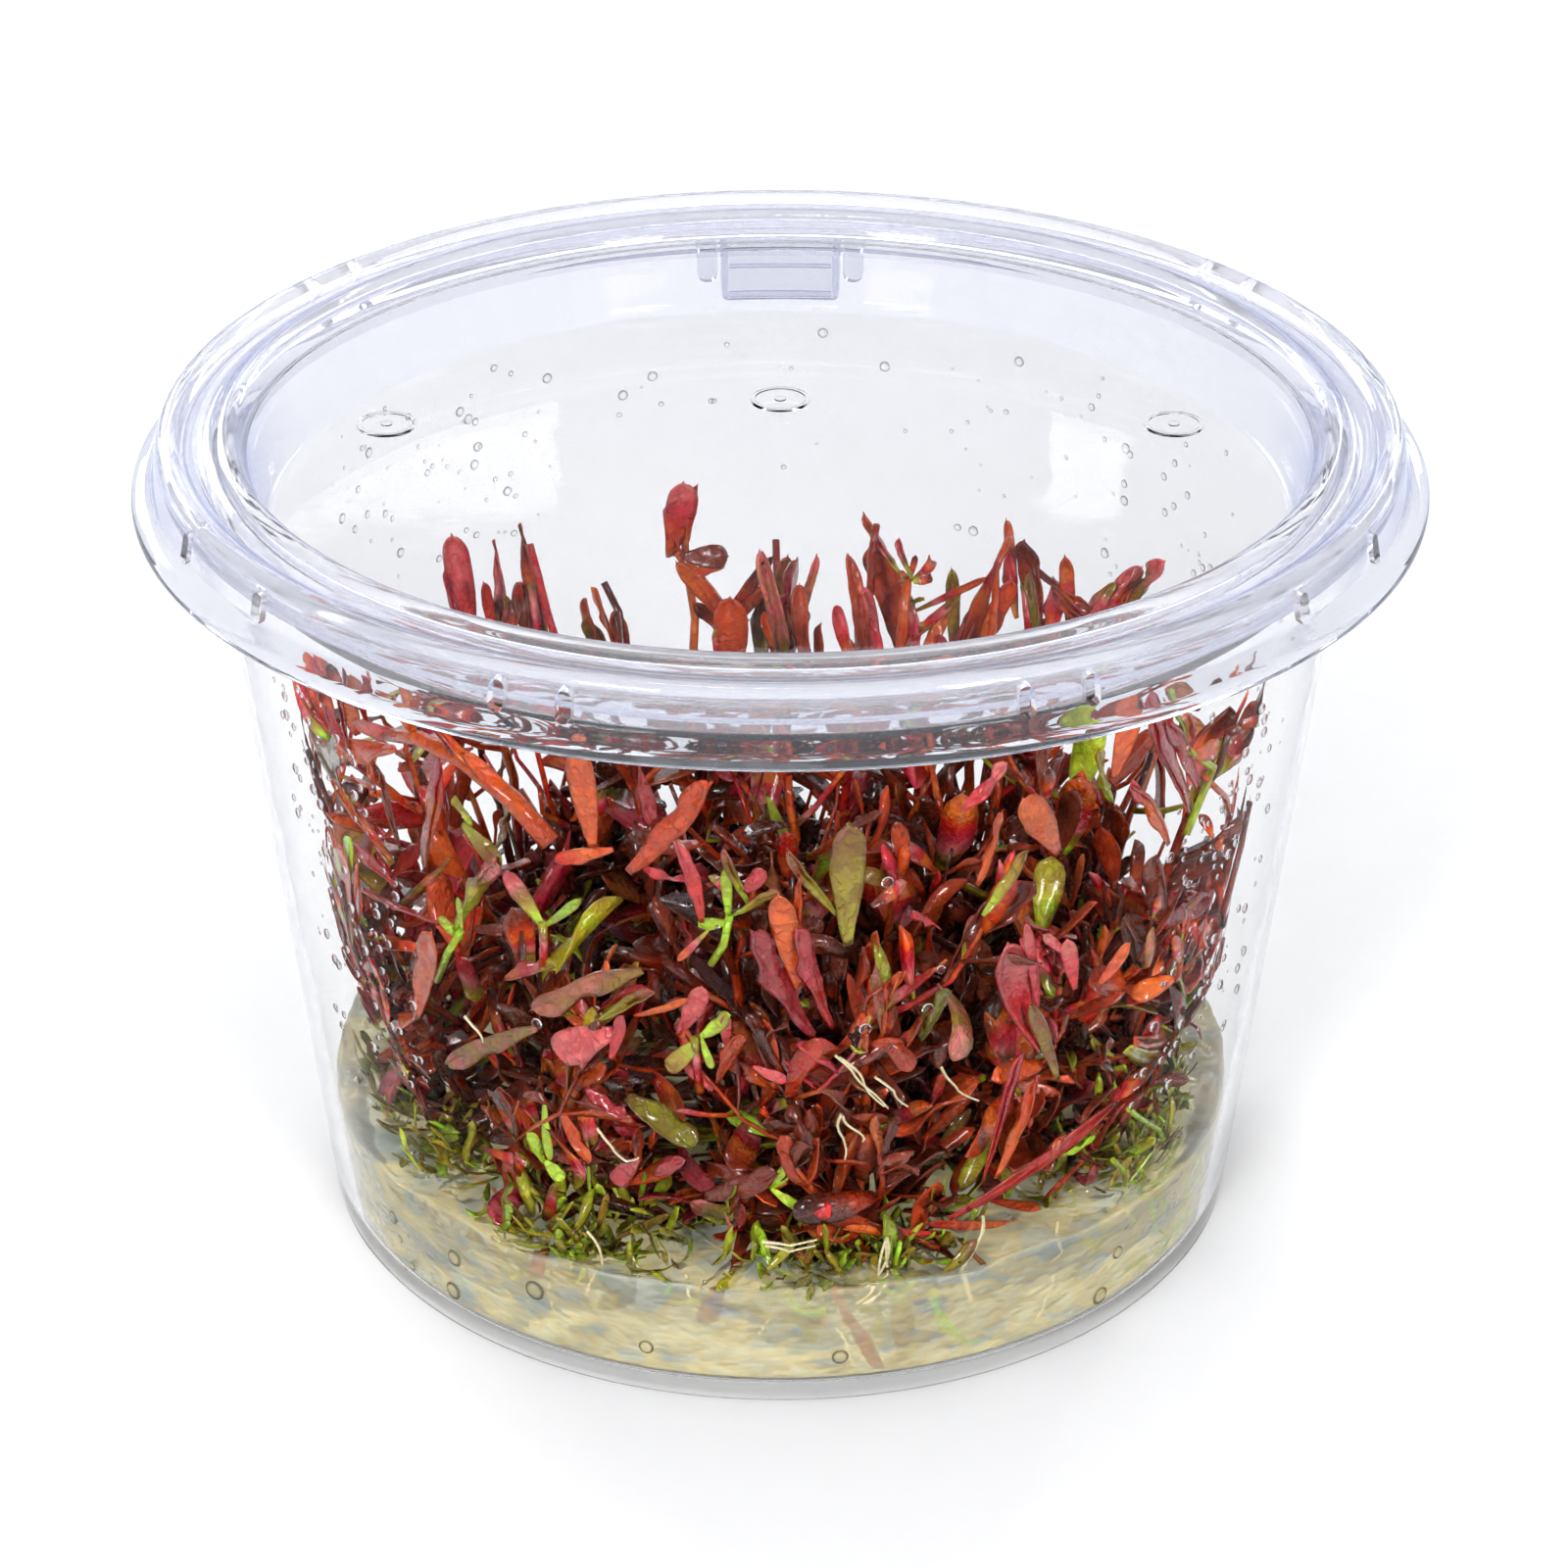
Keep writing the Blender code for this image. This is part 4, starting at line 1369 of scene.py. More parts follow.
TALL_Y = 15.0
TALL_LEAVES = (
    ((478, 632), (462, 553), "spoon", 30, (0.62, 0.72), 1.0),
    ((500, 632), (494, 600), "strap", 14, (0.58, 0.62), 0.9),
    ((515, 632), (506, 560), "spike", 17, (0.85, 0.66), 0.8),
    ((552, 645), (533, 545), "spike", 24, (0.88, 0.20), 0.8),
    ((524, 632), (531, 600), "strap", 12, (0.60, 0.58), 0.9),
    ((605, 655), (600, 617), "twisted", 16, (0.84, 0.40), 0.8),
    ((622, 650), (605, 606), "strap", 13, (0.42, 0.50), 1.1),
    ((634, 658), (628, 630), "round", 20, (0.84, 0.44), 0.8),
    ((684, 569), (697, 499), "round", 36, (0.50, 0.74), 1.0),
    ((700, 566), (712, 500), "rolled", 15, (0.50, 0.62), 0.9),
    ((696, 572), (741, 571), "spoon", 26, (0.14, 0.10), 1.0),
    ((708, 590), (737, 574), "drooping", 20, (0.40, 0.44), 1.0),
    ((738, 632), (693, 580), "strap", 18, (0.44, 0.50), 1.0),
    ((748, 662), (745, 616), "round", 38, (0.36, 0.38), 1.1),
    ((748, 622), (786, 574), "strap", 13, (0.40, 0.10), 0.9),
    ((755, 628), (778, 604), "spoon", 17, (0.42, 0.50), 1.0),
    ((786, 662), (775, 560), "crumpled", 20, (0.84, 0.78), 1.2),
    ((795, 665), (803, 575), "waved", 24, (0.86, 0.80), 1.1),
    ((812, 662), (813, 568), "crumpled", 20, (0.10, 0.78), 1.1),
    ((776, 665), (782, 605), "waved", 22, (0.90, 0.84), 0.8),
    ((806, 662), (803, 612), "spoon", 22, (0.76, 0.75), 1.1),
    ((815, 640), (832, 574), "strap", 13, (0.84, 0.78), 1.2),
    ((826, 668), (816, 600), "drooping", 18, (0.30, 0.42), 0.9),
    ((878, 658), (865, 571), "drooping", 21, (0.16, 0.42), 1.0),
    ((893, 660), (883, 606), "strap", 17, (0.76, 0.74), 1.1),
    ((918, 655), (892, 558), "rising", 42, (0.46, 0.38), 1.0),
    ((924, 596), (884, 529), "rolled", 15, (0.95, 0.40), 0.9),
    ((926, 596), (952, 574), "crumpled", 17, (0.97, 0.30), 1.0),
    ((928, 595), (934, 571), "strap", 8, (0.90, 0.14), 1.0),
    ((928, 655), (977, 613), "strap", 12, (0.20, 0.84), 0.9),
    ((952, 618), (1003, 594), "strap", 10, (0.84, 0.42), 1.0),
    ((973, 655), (971, 588), "strap", 17, (0.84, 0.86), 0.8),
    ((984, 660), (1016, 578), "spike", 22, (0.14, 0.66), 0.9),
    ((948, 662), (966, 625), "spoon", 16, (0.40, 0.46), 0.9),
    ((1005, 655), (1032, 598), "spoon", 22, (0.42, 0.58), 1.1),
    ((1052, 640), (1046, 553), "rising", 34, (0.84, 0.14), 0.9),
    ((1034, 600), (1027, 538), "strap", 14, (0.84, 0.46), 1.0),
    ((1068, 640), (1078, 604), "round", 24, (0.42, 0.74), 1.1),
    ((1092, 632), (1087, 574), "spoon", 17, (0.84, 0.44), 1.0),
    ((1085, 606), (1046, 578), "strap", 9, (0.14, 0.20), 1.0),
    ((1106, 628), (1078, 594), "rolled", 20, (0.84, 0.30), 0.8),
    ((1122, 625), (1163, 584), "waved", 22, (0.66, 0.74), 1.1),
    ((1150, 612), (1186, 578), "waved", 24, (0.88, 0.76), 1.1),
)
RIM_HIDES = 598
BELOW_RIM = 3.2
COMPANION_KINDS = ("crumpled", "waved", "drooping", "rolled", "twisted")
COMPANION_TIPS = (0.1, 0.4, 0.66, 0.84)
COMPANION_WIDE = 15
TALL_STALKS = (
    (((742, 720), (740, 628), (712, 592), (692, 566)), 0.75, 0.55, (0.40, 0.44)),
    (((918, 730), (920, 655), (926, 590)), 0.70, 0.50, (0.36, 0.46)),
    (((800, 730), (800, 660), (795, 610)), 0.60, 0.40, (0.84, 0.88)),
    (((1050, 720), (1050, 640), (1045, 600)), 0.60, 0.40, (0.40, 0.84)),
    (((545, 720), (548, 640), (542, 600)), 0.60, 0.40, (0.50, 0.84)),
)

rng = random.Random(81)
bunch = start_bunch()
for foot, tip, kind, wide, tones, shade in TALL_LEAVES:
    feet = at_depth(*foot, TALL_Y + rng.uniform(-1.5, 1.5))
    tips = at_depth(*tip, TALL_Y + rng.uniform(-3.0, 3.0))
    if foot[1] > RIM_HIDES:
        feet += (feet - tips).normalized() * BELOW_RIM
    add_seen_leaf(bunch, rng, feet, tips, kind, wide, tones, shade)
    side = Vector((rng.uniform(-2.2, 2.2), rng.uniform(-1.5, 1.5), 0.0))
    small = feet + (tips - feet) * rng.uniform(0.35, 0.8) + side * 0.8
    like = rng.choice(COMPANION_KINDS)
    small_tones = (rng.choice(tones), rng.choice(COMPANION_TIPS))
    add_seen_leaf(bunch, rng, feet + side * 0.3, small, like, COMPANION_WIDE, small_tones, shade)
for points, thick, thin, tones in TALL_STALKS:
    add_tube(bunch, [at_depth(x, y, TALL_Y) for x, y in points], thick, thin, tones, sides=8)
finish_piece("tall_tips", bunch, LEAF_FINISH, sharp=0)
print("tall tips:", len(TALL_LEAVES), "leaves and", len(TALL_STALKS), "stalks")

# %% [markdown]
# ## Leaves in front
# The rows are read as before. These leaves hang just inside the front of the wall, their feet a
# little deeper in the tangle than their tips. They give the picture its large shapes: the red
# spray at the right, the pink pair at the left and the small green crosses between them. The long
# stalks carry some of them.

# %% Leaves in front
FRONT_LEAVES = (
    ((522, 820), (432, 742), "strap", 24, (0.40, 0.58), 1.2),
    ((560, 850), (470, 775), "strap", 26, (0.40, 0.44), 1.1),
    ((432, 757), (352, 742), "strap", 18, (0.62, 0.76), 1.0),
    ((352, 764), (334, 697), "rolled", 20, (0.66, 0.66), 0.9),
    ((354, 768), (318, 722), "spoon", 22, (0.58, 0.66), 0.8),
    ((404, 762), (338, 764), "waved", 26, (0.42, 0.46), 1.1),
    ((366, 745), (345, 708), "round", 30, (0.46, 0.50), 1.0),
    ((345, 742), (312, 692), "hooked", 26, (0.60, 0.10), 0.9),
    ((336, 738), (290, 716), "crumpled", 24, (0.88, 0.84), 0.7),
    ((312, 728), (280, 712), "strap", 12, (0.84, 0.84), 0.6),
    ((376, 735), (358, 704), "spoon", 16, (0.58, 0.62), 1.0),
    ((428, 750), (393, 718), "spoon", 20, (0.48, 0.52), 1.0),
    ((500, 802), (430, 746), "strap", 12, (0.10, 0.14), 0.9),
    ((400, 876), (333, 798), "strap", 15, (0.50, 0.46), 1.0),
    ((402, 880), (352, 815), "spike", 14, (0.84, 0.20), 0.9),
    ((408, 862), (376, 792), "strap", 16, (0.14, 0.18), 0.9),
    ((384, 806), (371, 779), "strap", 12, (0.20, 0.50), 1.1),
    ((378, 908), (319, 856), "strap", 18, (0.88, 0.48), 1.0),
    ((372, 932), (321, 937), "strap", 15, (0.95, 0.92), 1.0),
    ((372, 944), (350, 910), "spoon", 14, (0.97, 0.94), 1.0),
    ((392, 956), (345, 953), "strap", 13, (0.95, 0.88), 0.9),
    ((400, 905), (350, 864), "twisted", 16, (0.62, 0.66), 0.8),
    ((456, 945), (366, 910), "strap", 12, (0.60, 0.74), 1.0),
    ((428, 880), (441, 774), "rolled", 18, (0.30, 0.66), 0.9),
    ((470, 840), (505, 885), "waved", 24, (0.95, 0.84), 0.8),
    ((478, 842), (458, 812), "crumpled", 18, (0.98, 0.90), 0.9),
    ((505, 862), (512, 812), "round", 28, (0.84, 0.84), 0.6),
    ((464, 948), (497, 884), "spoon", 22, (1.00, 0.78), 1.0),
    ((472, 956), (440, 940), "round", 16, (1.00, 0.98), 0.9),
    ((468, 950), (462, 918), "strap", 9, (1.00, 0.98), 1.0),
    ((553, 944), (513, 893), "spoon", 22, (1.00, 0.70), 1.0),
    ((555, 945), (585, 924), "strap", 11, (1.00, 0.98), 1.0),
    ((606, 862), (583, 773), "spoon", 30, (0.46, 0.46), 1.1),
    ((624, 868), (563, 884), "strap", 20, (0.42, 0.58), 1.1),
    ((426, 1036), (428, 959), "spoon", 32, (0.44, 0.44), 1.2),
    ((384, 1000), (350, 993), "spoon", 16, (0.97, 0.92), 1.0),
    ((380, 1032), (348, 1008), "strap", 14, (0.97, 0.94), 1.0),
    ((430, 1032), (366, 1056), "spoon", 22, (0.44, 0.96), 1.1),
    ((370, 1048), (345, 1036), "spoon", 15, (0.14, 0.10), 0.9),
    ((642, 892), (720, 806), "spoon", 32, (0.34, 0.38), 1.1),
    ((662, 842), (648, 790), "spike", 22, (0.62, 0.60), 0.6),
    ((714, 942), (686, 860), "drooping", 20, (0.58, 0.72), 1.0),
    ((654, 884), (694, 906), "waved", 20, (0.68, 0.68), 1.0),
    ((744, 938), (739, 892), "strap", 12, (1.00, 0.99), 1.0),
    ((746, 940), (707, 950), "hooked", 18, (1.00, 0.99), 1.0),
    ((748, 936), (796, 920), "rolled", 20, (0.98, 0.84), 0.9),
    ((722, 950), (690, 986), "strap", 9, (0.92, 0.46), 1.0),
    ((765, 925), (738, 870), "rolled", 18, (0.97, 0.82), 0.8),
    ((866, 965), (868, 850), "spoon", 36, (0.92, 0.84), 0.8),
    ((856, 936), (806, 872), "rolled", 22, (0.92, 0.82), 0.8),
    ((814, 958), (817, 900), "spike", 14, (0.40, 0.42), 1.0),
    ((828, 1056), (769, 962), "spoon", 38, (0.66, 0.69), 0.62),
    ((848, 1048), (815, 958), "spoon", 24, (0.60, 0.70), 0.8),
    ((815, 1005), (795, 925), "spoon", 28, (0.46, 0.48), 1.1),
    ((852, 1078), (922, 998), "spoon", 22, (0.34, 0.44), 1.1),
    ((692, 1054), (714, 1012), "round", 22, (0.66, 0.73), 1.1),
    ((648, 1036), (698, 1028), "strap", 9, (0.46, 0.48), 1.1),
    ((714, 1060), (742, 1044), "spoon", 20, (1.00, 0.98), 1.1),
    ((712, 1062), (680, 1096), "drooping", 22, (1.00, 0.86), 1.0),
    ((714, 1060), (724, 1096), "strap", 10, (1.00, 0.98), 1.0),
    ((732, 1104), (754, 1060), "spoon", 24, (0.34, 0.38), 1.0),
    ((742, 1070), (738, 1042), "strap", 14, (0.72, 0.74), 1.1),
    ((626, 1052), (562, 1082), "round", 44, (0.72, 0.74), 1.1),
    ((622, 1082), (632, 1042), "spoon", 15, (0.62, 0.70), 1.1),
    ((655, 988), (540, 1034), "waved", 30, (0.84, 0.80), 0.9),
    ((610, 1040), (665, 1018), "rolled", 24, (0.95, 0.84), 0.9),
    ((548, 1046), (452, 1086), "spoon", 24, (0.84, 0.82), 0.9),
    ((515, 1000), (560, 990), "round", 30, (0.46, 0.90), 0.9),
    ((768, 1090), (802, 1110), "strap", 15, (0.68, 0.68), 1.2),
    ((890, 926), (926, 905), "spoon", 20, (0.06, 0.82), 0.9),
    ((760, 912), (780, 894), "round", 20, (0.68, 0.68), 0.9),
    ((960, 950), (935, 942), "round", 22, (0.68, 0.69), 1.0),
    ((1062, 1072), (1032, 964), "rising", 38, (0.62, 0.72), 1.0),
    ((1060, 1030), (1053, 948), "strap", 12, (0.66, 0.74), 1.1),
    ((1082, 1100), (1058, 1030), "strap", 18, (0.84, 0.84), 0.9),
    ((1099, 1008), (1093, 962), "spoon", 20, (0.62, 0.76), 1.2),
    ((1090, 972), (1074, 960), "waved", 12, (0.76, 0.76), 1.2),
    ((1122, 1004), (1163, 968), "spoon", 20, (0.40, 0.46), 1.1),
    ((1158, 1068), (1229, 1050), "strap", 16, (0.40, 0.62), 1.1),
    ((1148, 1074), (1226, 1092), "strap", 13, (0.95, 0.50), 1.2),
    ((1140, 1078), (1115, 1062), "hooked", 14, (0.95, 0.92), 1.0),
    ((1218, 822), (1190, 722), "rolled", 30, (0.58, 0.68), 0.9),
    ((1222, 800), (1203, 738), "spoon", 20, (0.62, 0.66), 0.9),
    ((1214, 770), (1204, 722), "spoon", 18, (1.00, 0.98), 1.0),
    ((1214, 768), (1252, 762), "round", 24, (0.50, 0.46), 1.1),
    ((1222, 760), (1222, 730), "spoon", 14, (0.72, 0.75), 1.0),
    ((1196, 858), (1163, 802), "spoon", 18, (0.44, 0.62), 1.1),
    ((1260, 918), (1283, 892), "spoon", 15, (0.42, 0.48), 1.1),
    ((1232, 956), (1272, 948), "strap", 16, (0.97, 0.90), 1.0),
    ((1212, 1022), (1250, 984), "spike", 12, (1.00, 0.98), 1.0),
    ((1214, 1024), (1208, 990), "strap", 9, (1.00, 0.96), 1.0),
    ((1192, 938), (1184, 876), "round", 40, (0.14, 0.14), 0.9),
    ((1190, 942), (1240, 916), "spoon", 28, (0.66, 0.64), 0.6),
    ((1006, 936), (1052, 874), "spoon", 20, (1.00, 0.82), 0.9),
    ((1000, 905), (1028, 838), "spoon", 20, (0.44, 0.42), 1.1),
    ((1082, 870), (1052, 822), "round", 34, (0.44, 0.50), 1.0),
    ((1140, 792), (1164, 724), "spoon", 30, (0.44, 0.46), 1.1),
    ((1136, 815), (1134, 770), "round", 24, (0.97, 0.90), 1.0),
    ((984, 828), (1031, 784), "waved", 24, (0.66, 0.74), 1.0),
    ((1008, 1208), (1052, 1082), "rolled", 22, (0.58, 0.67), 1.0),
    ((1022, 1205), (1062, 1108), "spoon", 20, (0.44, 0.58), 1.1),
    ((972, 1250), (1148, 1136), "strap", 20, (0.60, 0.62), 0.9),
    ((962, 1264), (868, 1262), "strap", 18, (0.60, 0.46), 1.1),
    ((895, 1252), (832, 1242), "spoon", 22, (0.34, 0.12), 0.9),
    ((1060, 1256), (960, 1262), "strap", 15, (0.42, 0.60), 0.9),
    ((1040, 1290), (1102, 1296), "strap", 10, (0.16, 0.20), 0.9),
    ((1040, 1298), (1086, 1320), "strap", 10, (0.16, 0.20), 0.9),
    ((1098, 1224), (1097, 1278), "strap", 11, (0.22, 0.30), 1.0),
    ((548, 1190), (526, 1166), "round", 26, (1.00, 1.00), 1.2),
    ((548, 1190), (563, 1212), "round", 27, (1.00, 1.00), 1.2),
    ((553, 1124), (549, 1190), "strap", 13, (1.00, 1.00), 1.2),
    ((786, 1212), (806, 1198), "round", 16, (1.00, 1.00), 1.2),
    ((786, 1214), (820, 1238), "strap", 14, (1.00, 1.00), 1.2),
    ((720, 1222), (790, 1208), "spoon", 34, (0.10, 0.16), 1.0),
    ((572, 1132), (592, 1192), "spoon", 24, (0.40, 0.44), 1.1),
    ((596, 1112), (630, 1146), "waved", 26, (0.67, 0.67), 0.8),
    ((650, 1182), (620, 1216), "waved", 24, (0.70, 0.69), 0.8),
    ((668, 1200), (695, 1190), "round", 18, (0.69, 0.69), 0.9),
    # This leaf's low brightness paints the shade it stands in.
    ((640, 1120), (700, 1178), "round", 50, (0.90, 0.92), 0.45),
    ((560, 1210), (540, 1272), "strap", 24, (0.86, 0.10), 0.8),
    ((1095, 1184), (1135, 1168), "waved", 16, (1.00, 0.99), 1.1),
    ((398, 1150), (440, 1166), "waved", 16, (1.00, 0.99), 1.0),
    ((940, 1060), (975, 1020), "round", 30, (0.93, 0.93), 0.35),
)
LONG_STALKS = (
    (((560, 860), (520, 815), (470, 775), (425, 752), (390, 748)), 1.0, 0.6, (0.40, 0.46)),
    (((468, 950), (455, 972), (444, 1000)), 0.35, 0.35, (1.00, 0.95)),
    (((552, 942), (553, 965), (552, 990)), 0.40, 0.40, (0.92, 0.50)),
    (((744, 936), (738, 965), (725, 985)), 0.35, 0.35, (1.00, 0.95)),
    (((708, 1060), (710, 1085), (714, 1115)), 0.40, 0.40, (0.92, 0.48)),
    (((1212, 850), (1232, 800), (1240, 780), (1214, 764)), 0.35, 0.35, (0.92, 0.98)),
    (((1245, 860), (1262, 830), (1252, 810), (1230, 790)), 0.40, 0.30, (0.44, 0.48)),
    (((1212, 1024), (1205, 1000), (1208, 975), (1228, 975)), 0.35, 0.30, (0.96, 0.92)),
    (((375, 1115), (410, 1160), (455, 1205), (490, 1232)), 0.22, 0.18, (0.30, 0.36)),
)

rng = random.Random(82)
bunch = start_bunch()
for foot, tip, kind, wide, tones, shade in FRONT_LEAVES:
    feet = at_wall(*foot, FRONT_GAP + rng.uniform(0.5, 2.0))
    tips = at_wall(*tip, FRONT_GAP + rng.uniform(-1.0, 0.5))
    add_seen_leaf(bunch, rng, feet, tips, kind, wide, tones, shade)
for points, thick, thin, tones in LONG_STALKS:
    add_tube(bunch, [at_wall(x, y, FRONT_GAP + 1.0) for x, y in points], thick, thin, tones, sides=8)
finish_piece("front_leaves", bunch, LEAF_FINISH, sharp=0)
print("in front:", len(FRONT_LEAVES), "leaves and", len(LONG_STALKS), "stalks")

# %% [markdown]
# ## Shed leaves and green fringe
# Round the foot of the tangle lie shed leaves, some sunk in the gel, and a fringe of tiny
# yellow-green sprouts that grow in tufts. They are leaves of the same kinds, strewn by a seeded
# random on the gel, so that the foot of the tangle has no bare ring. They are made in heaps, and
# each heap is a piece with a seed of its own.

# %% Shed leaves and green fringe
SHED_HEAPS = 3
FRINGE_HEAPS = 12
HEAP = 130
TUFT_COUNT = 64
TUFT_SPREAD = 1.7
SHED_TONES = (0.06, 0.14, 0.24, 0.66, 0.84)
SPROUT_TONES = (0.86, 0.90, 0.92, 0.94, 0.96, 0.99)
SPROUT_KINDS = ("strap", "strap", "rising", "hooked", "waved", "spoon")
NEAR_GEL = (-2.0, 6.0, 0.30)
STRAIGHT_UP = Vector((0, 0, 1))


def on_gel(rng, low_r, high_r, high_z):
    """A random place in a ring on the gel, in mm."""
    turn = rng.uniform(0, math.tau)
    out = math.sqrt(rng.uniform(low_r ** 2, high_r ** 2))
    return Vector((out * math.cos(turn), out * math.sin(turn), GEL_TOP_Z + rng.uniform(0.0, high_z)))


def add_shed_leaf(bm, rng):
    """One shed leaf, lying any way near the gel."""
    foot = on_gel(rng, 14, 37.6, 5.0)
    turn = rng.uniform(0, math.tau)
    direction = Vector((math.cos(turn), math.sin(turn), rng.uniform(-0.3, 0.5)))
    up = Vector((rng.uniform(-0.7, 0.7), rng.uniform(-0.7, 0.7), 1.0))
    kind = rng.choices(list(LEAF_KINDS), KIND_SHARES)[0]
    tone = pick_tone(rng, rng.choice(SHED_TONES))
    size = rng.uniform(5, 9)
    width = rng.uniform(0.8, 1.2)
    shade = rng.uniform(0.5, 1.0)
    add_leaf(bm, kind, foot, direction, up, size, width, (tone, tone), shade, 0.7, limits=NEAR_GEL)


def make_tufts(rng, count):
    """Middles of the tufts of sprouts, more of them at the front."""
    tufts = [on_gel(rng, 31, 40.6, 0.0) for _ in range(count)]
    for tuft in tufts:
        if rng.random() < 0.5:
            tuft.y = -abs(tuft.y)
    return tufts


TUFTS = make_tufts(random.Random(87), TUFT_COUNT)


def add_sprout(bm, rng):
    """One tiny green sprout of a tuft, leaning out from the tangle or sunk in the gel."""
    tuft = rng.choice(TUFTS)
    foot = tuft + Vector((rng.gauss(0, TUFT_SPREAD), rng.gauss(0, TUFT_SPREAD), rng.uniform(0.0, 1.4)))
    foot.z -= rng.uniform(0.0, 5.0) * (rng.random() < 0.6)
    out = Vector((foot.x, foot.y, 0)).normalized()
    sway = nudge(rng, 0.7)
    direction = out * rng.uniform(-0.2, 1.0) + sway + STRAIGHT_UP * 0.3
    up = Vector((rng.uniform(-1, 1), rng.uniform(-1, 1), 1.0))
    tone = rng.choice(SPROUT_TONES)
    kind = rng.choice(SPROUT_KINDS)
    size = rng.uniform(1.6, 6.0)
    width = rng.uniform(0.4, 0.9)
    shade = rng.uniform(0.4, 1.15)
    add_leaf(bm, kind, foot, direction, up, size, width, (tone, tone), shade, 0.1, limits=NEAR_GEL)


STREWN = (
    ("shed_leaves", add_shed_leaf, SHED_HEAPS),
    ("green_fringe", add_sprout, FRINGE_HEAPS),
)
for name, strew, heaps in STREWN:
    for heap in range(heaps):
        rng = random.Random(830 + heap)
        bunch = start_bunch()
        for _ in range(HEAP):
            strew(bunch, rng)
        finish_piece(f"{name}_{heap + 1}", bunch, LEAF_FINISH, sharp=0)
print("strewn:", SHED_HEAPS * HEAP, "shed leaves and", FRINGE_HEAPS * HEAP, "sprouts")

# %% [markdown]
# ## Roots and blades
# Fine cream roots hang from the shoots and run into the gel, and a few thin green blades stand at
# the right. Each is a thin tube along a path read off the picture and brought to the front of the
# cup. In the gel, short roots wander down from its top, as far as its foot.

# %% Roots and blades
ROOT_PATHS = (
    ((852, 1076), (872, 1096), (888, 1112), (906, 1130)),
    ((856, 1078), (880, 1100), (902, 1128)),
    ((893, 1098), (912, 1112), (926, 1128)),
    ((858, 1136), (860, 1160), (862, 1182)),
    ((860, 1138), (872, 1152), (880, 1164)),
    ((905, 1262), (902, 1290), (885, 1315), (858, 1334)),
    ((905, 1262), (906, 1296), (888, 1322), (860, 1334)),
    ((904, 1264), (896, 1300), (872, 1328)),
    ((1002, 1240), (994, 1270), (980, 1300), (988, 1326)),
    ((1003, 1240), (990, 1280), (984, 1310), (992, 1328)),
    ((1078, 1246), (1074, 1262), (1068, 1280)),
    ((1070, 1294), (1064, 1315), (1050, 1342)),
    ((780, 1270), (805, 1276), (832, 1270)),
    ((778, 1266), (806, 1270), (834, 1264)),
    ((610, 1150), (625, 1170), (640, 1184), (652, 1180)),
    ((960, 1088), (975, 1108), (998, 1122)),
    ((600, 1255), (615, 1290), (602, 1320), (600, 1345)),
    ((640, 1270), (655, 1300), (650, 1330)),
    ((700, 1300), (712, 1330), (735, 1340)),
    ((850, 1350), (862, 1372), (872, 1400)),
    ((475, 1035), (488, 1050), (494, 1062)),
)
BLADE_PATHS = (
    ((1150, 1130), (1180, 1150), (1200, 1180)),
    ((1134, 1182), (1160, 1210), (1172, 1264)),
    ((1160, 1190), (1166, 1212), (1170, 1225)),
    ((1200, 1150), (1196, 1200), (1188, 1250), (1135, 1290)),
    ((1192, 1190), (1186, 1235), (1178, 1262)),
    ((950, 1312), (965, 1345), (985, 1370), (1000, 1372)),
    ((945, 1315), (958, 1350), (972, 1360)),
)


ROOT_GAP = 2.6
BLADE_GAP = 3.0
SUNK_ROOTS = 70
ROOT_STEP = 1.7
ROOTS_WITHIN_R = 41.5
CREAM = (0.99, 0.99)


def above_foot(spot):
    """Lifts a point in mm that would lie under the gel."""
    spot.z = max(spot.z, GEL_FOOT_Z + 0.8)
    return spot


def wander(rng, points, amount=0.4):
    """A picture path with more points, bowed to a side and moved a little."""
    made = []
    for (x0, y0), (x1, y1) in zip(points, points[1:]):
        bow = rng.uniform(-5, 5)
        for part in (0.0, 0.25, 0.50, 0.75):
            aside = bow * math.sin(math.pi * part) + rng.uniform(-amount, amount)
            made.append((x0 + (x1 - x0) * part + aside, y0 + (y1 - y0) * part))
    made.append(points[-1])
    return made


def make_root_finish():
    """Cream roots with a little gloss."""
    made, tree, shader = new_material("cream root", IOR=1.4, Coat_Weight=0.5, Coat_Roughness=0.15)
    height, mask = uneven(tree, 700.0)
    colours = ((0.35, (0.62, 0.50, 0.24)), (0.65, (0.90, 0.84, 0.58)))
    join(tree, bands(tree, mask, colours), shader.inputs["Base Color"])
    join(tree, bands(tree, mask, ((0.3, 0.3), (0.7, 0.5))), shader.inputs["Roughness"])
    bump(tree, shader, height, 0.4, 0.0003)
    return made


def sunk_root(rng):
    """The path of a short root that wanders down in the gel."""
    path = [on_gel(rng, 22, 40, 0.0)]
    step = Vector((rng.uniform(-1, 1), rng.uniform(-1, 1), -0.9))
    for _ in range(5):
        step += nudge(rng, 0.8)
        step.z = min(step.z, -0.2)
        path.append(above_foot(path[-1] + step.normalized() * ROOT_STEP))
    return path


rng = random.Random(84)
bunch = start_bunch()
for points in ROOT_PATHS:
    path = [above_foot(at_wall(x, y, ROOT_GAP)) for x, y in wander(rng, points)]
    add_tube(bunch, path, 0.15, 0.09, CREAM, sides=5, free=True)
for _ in range(SUNK_ROOTS):
    path = sunk_root(rng)
    if max(from_axis(spot) for spot in path) < ROOTS_WITHIN_R:
        add_tube(bunch, path, 0.16, 0.08, CREAM, sides=4, free=True)
finish_piece("roots", bunch, make_root_finish())

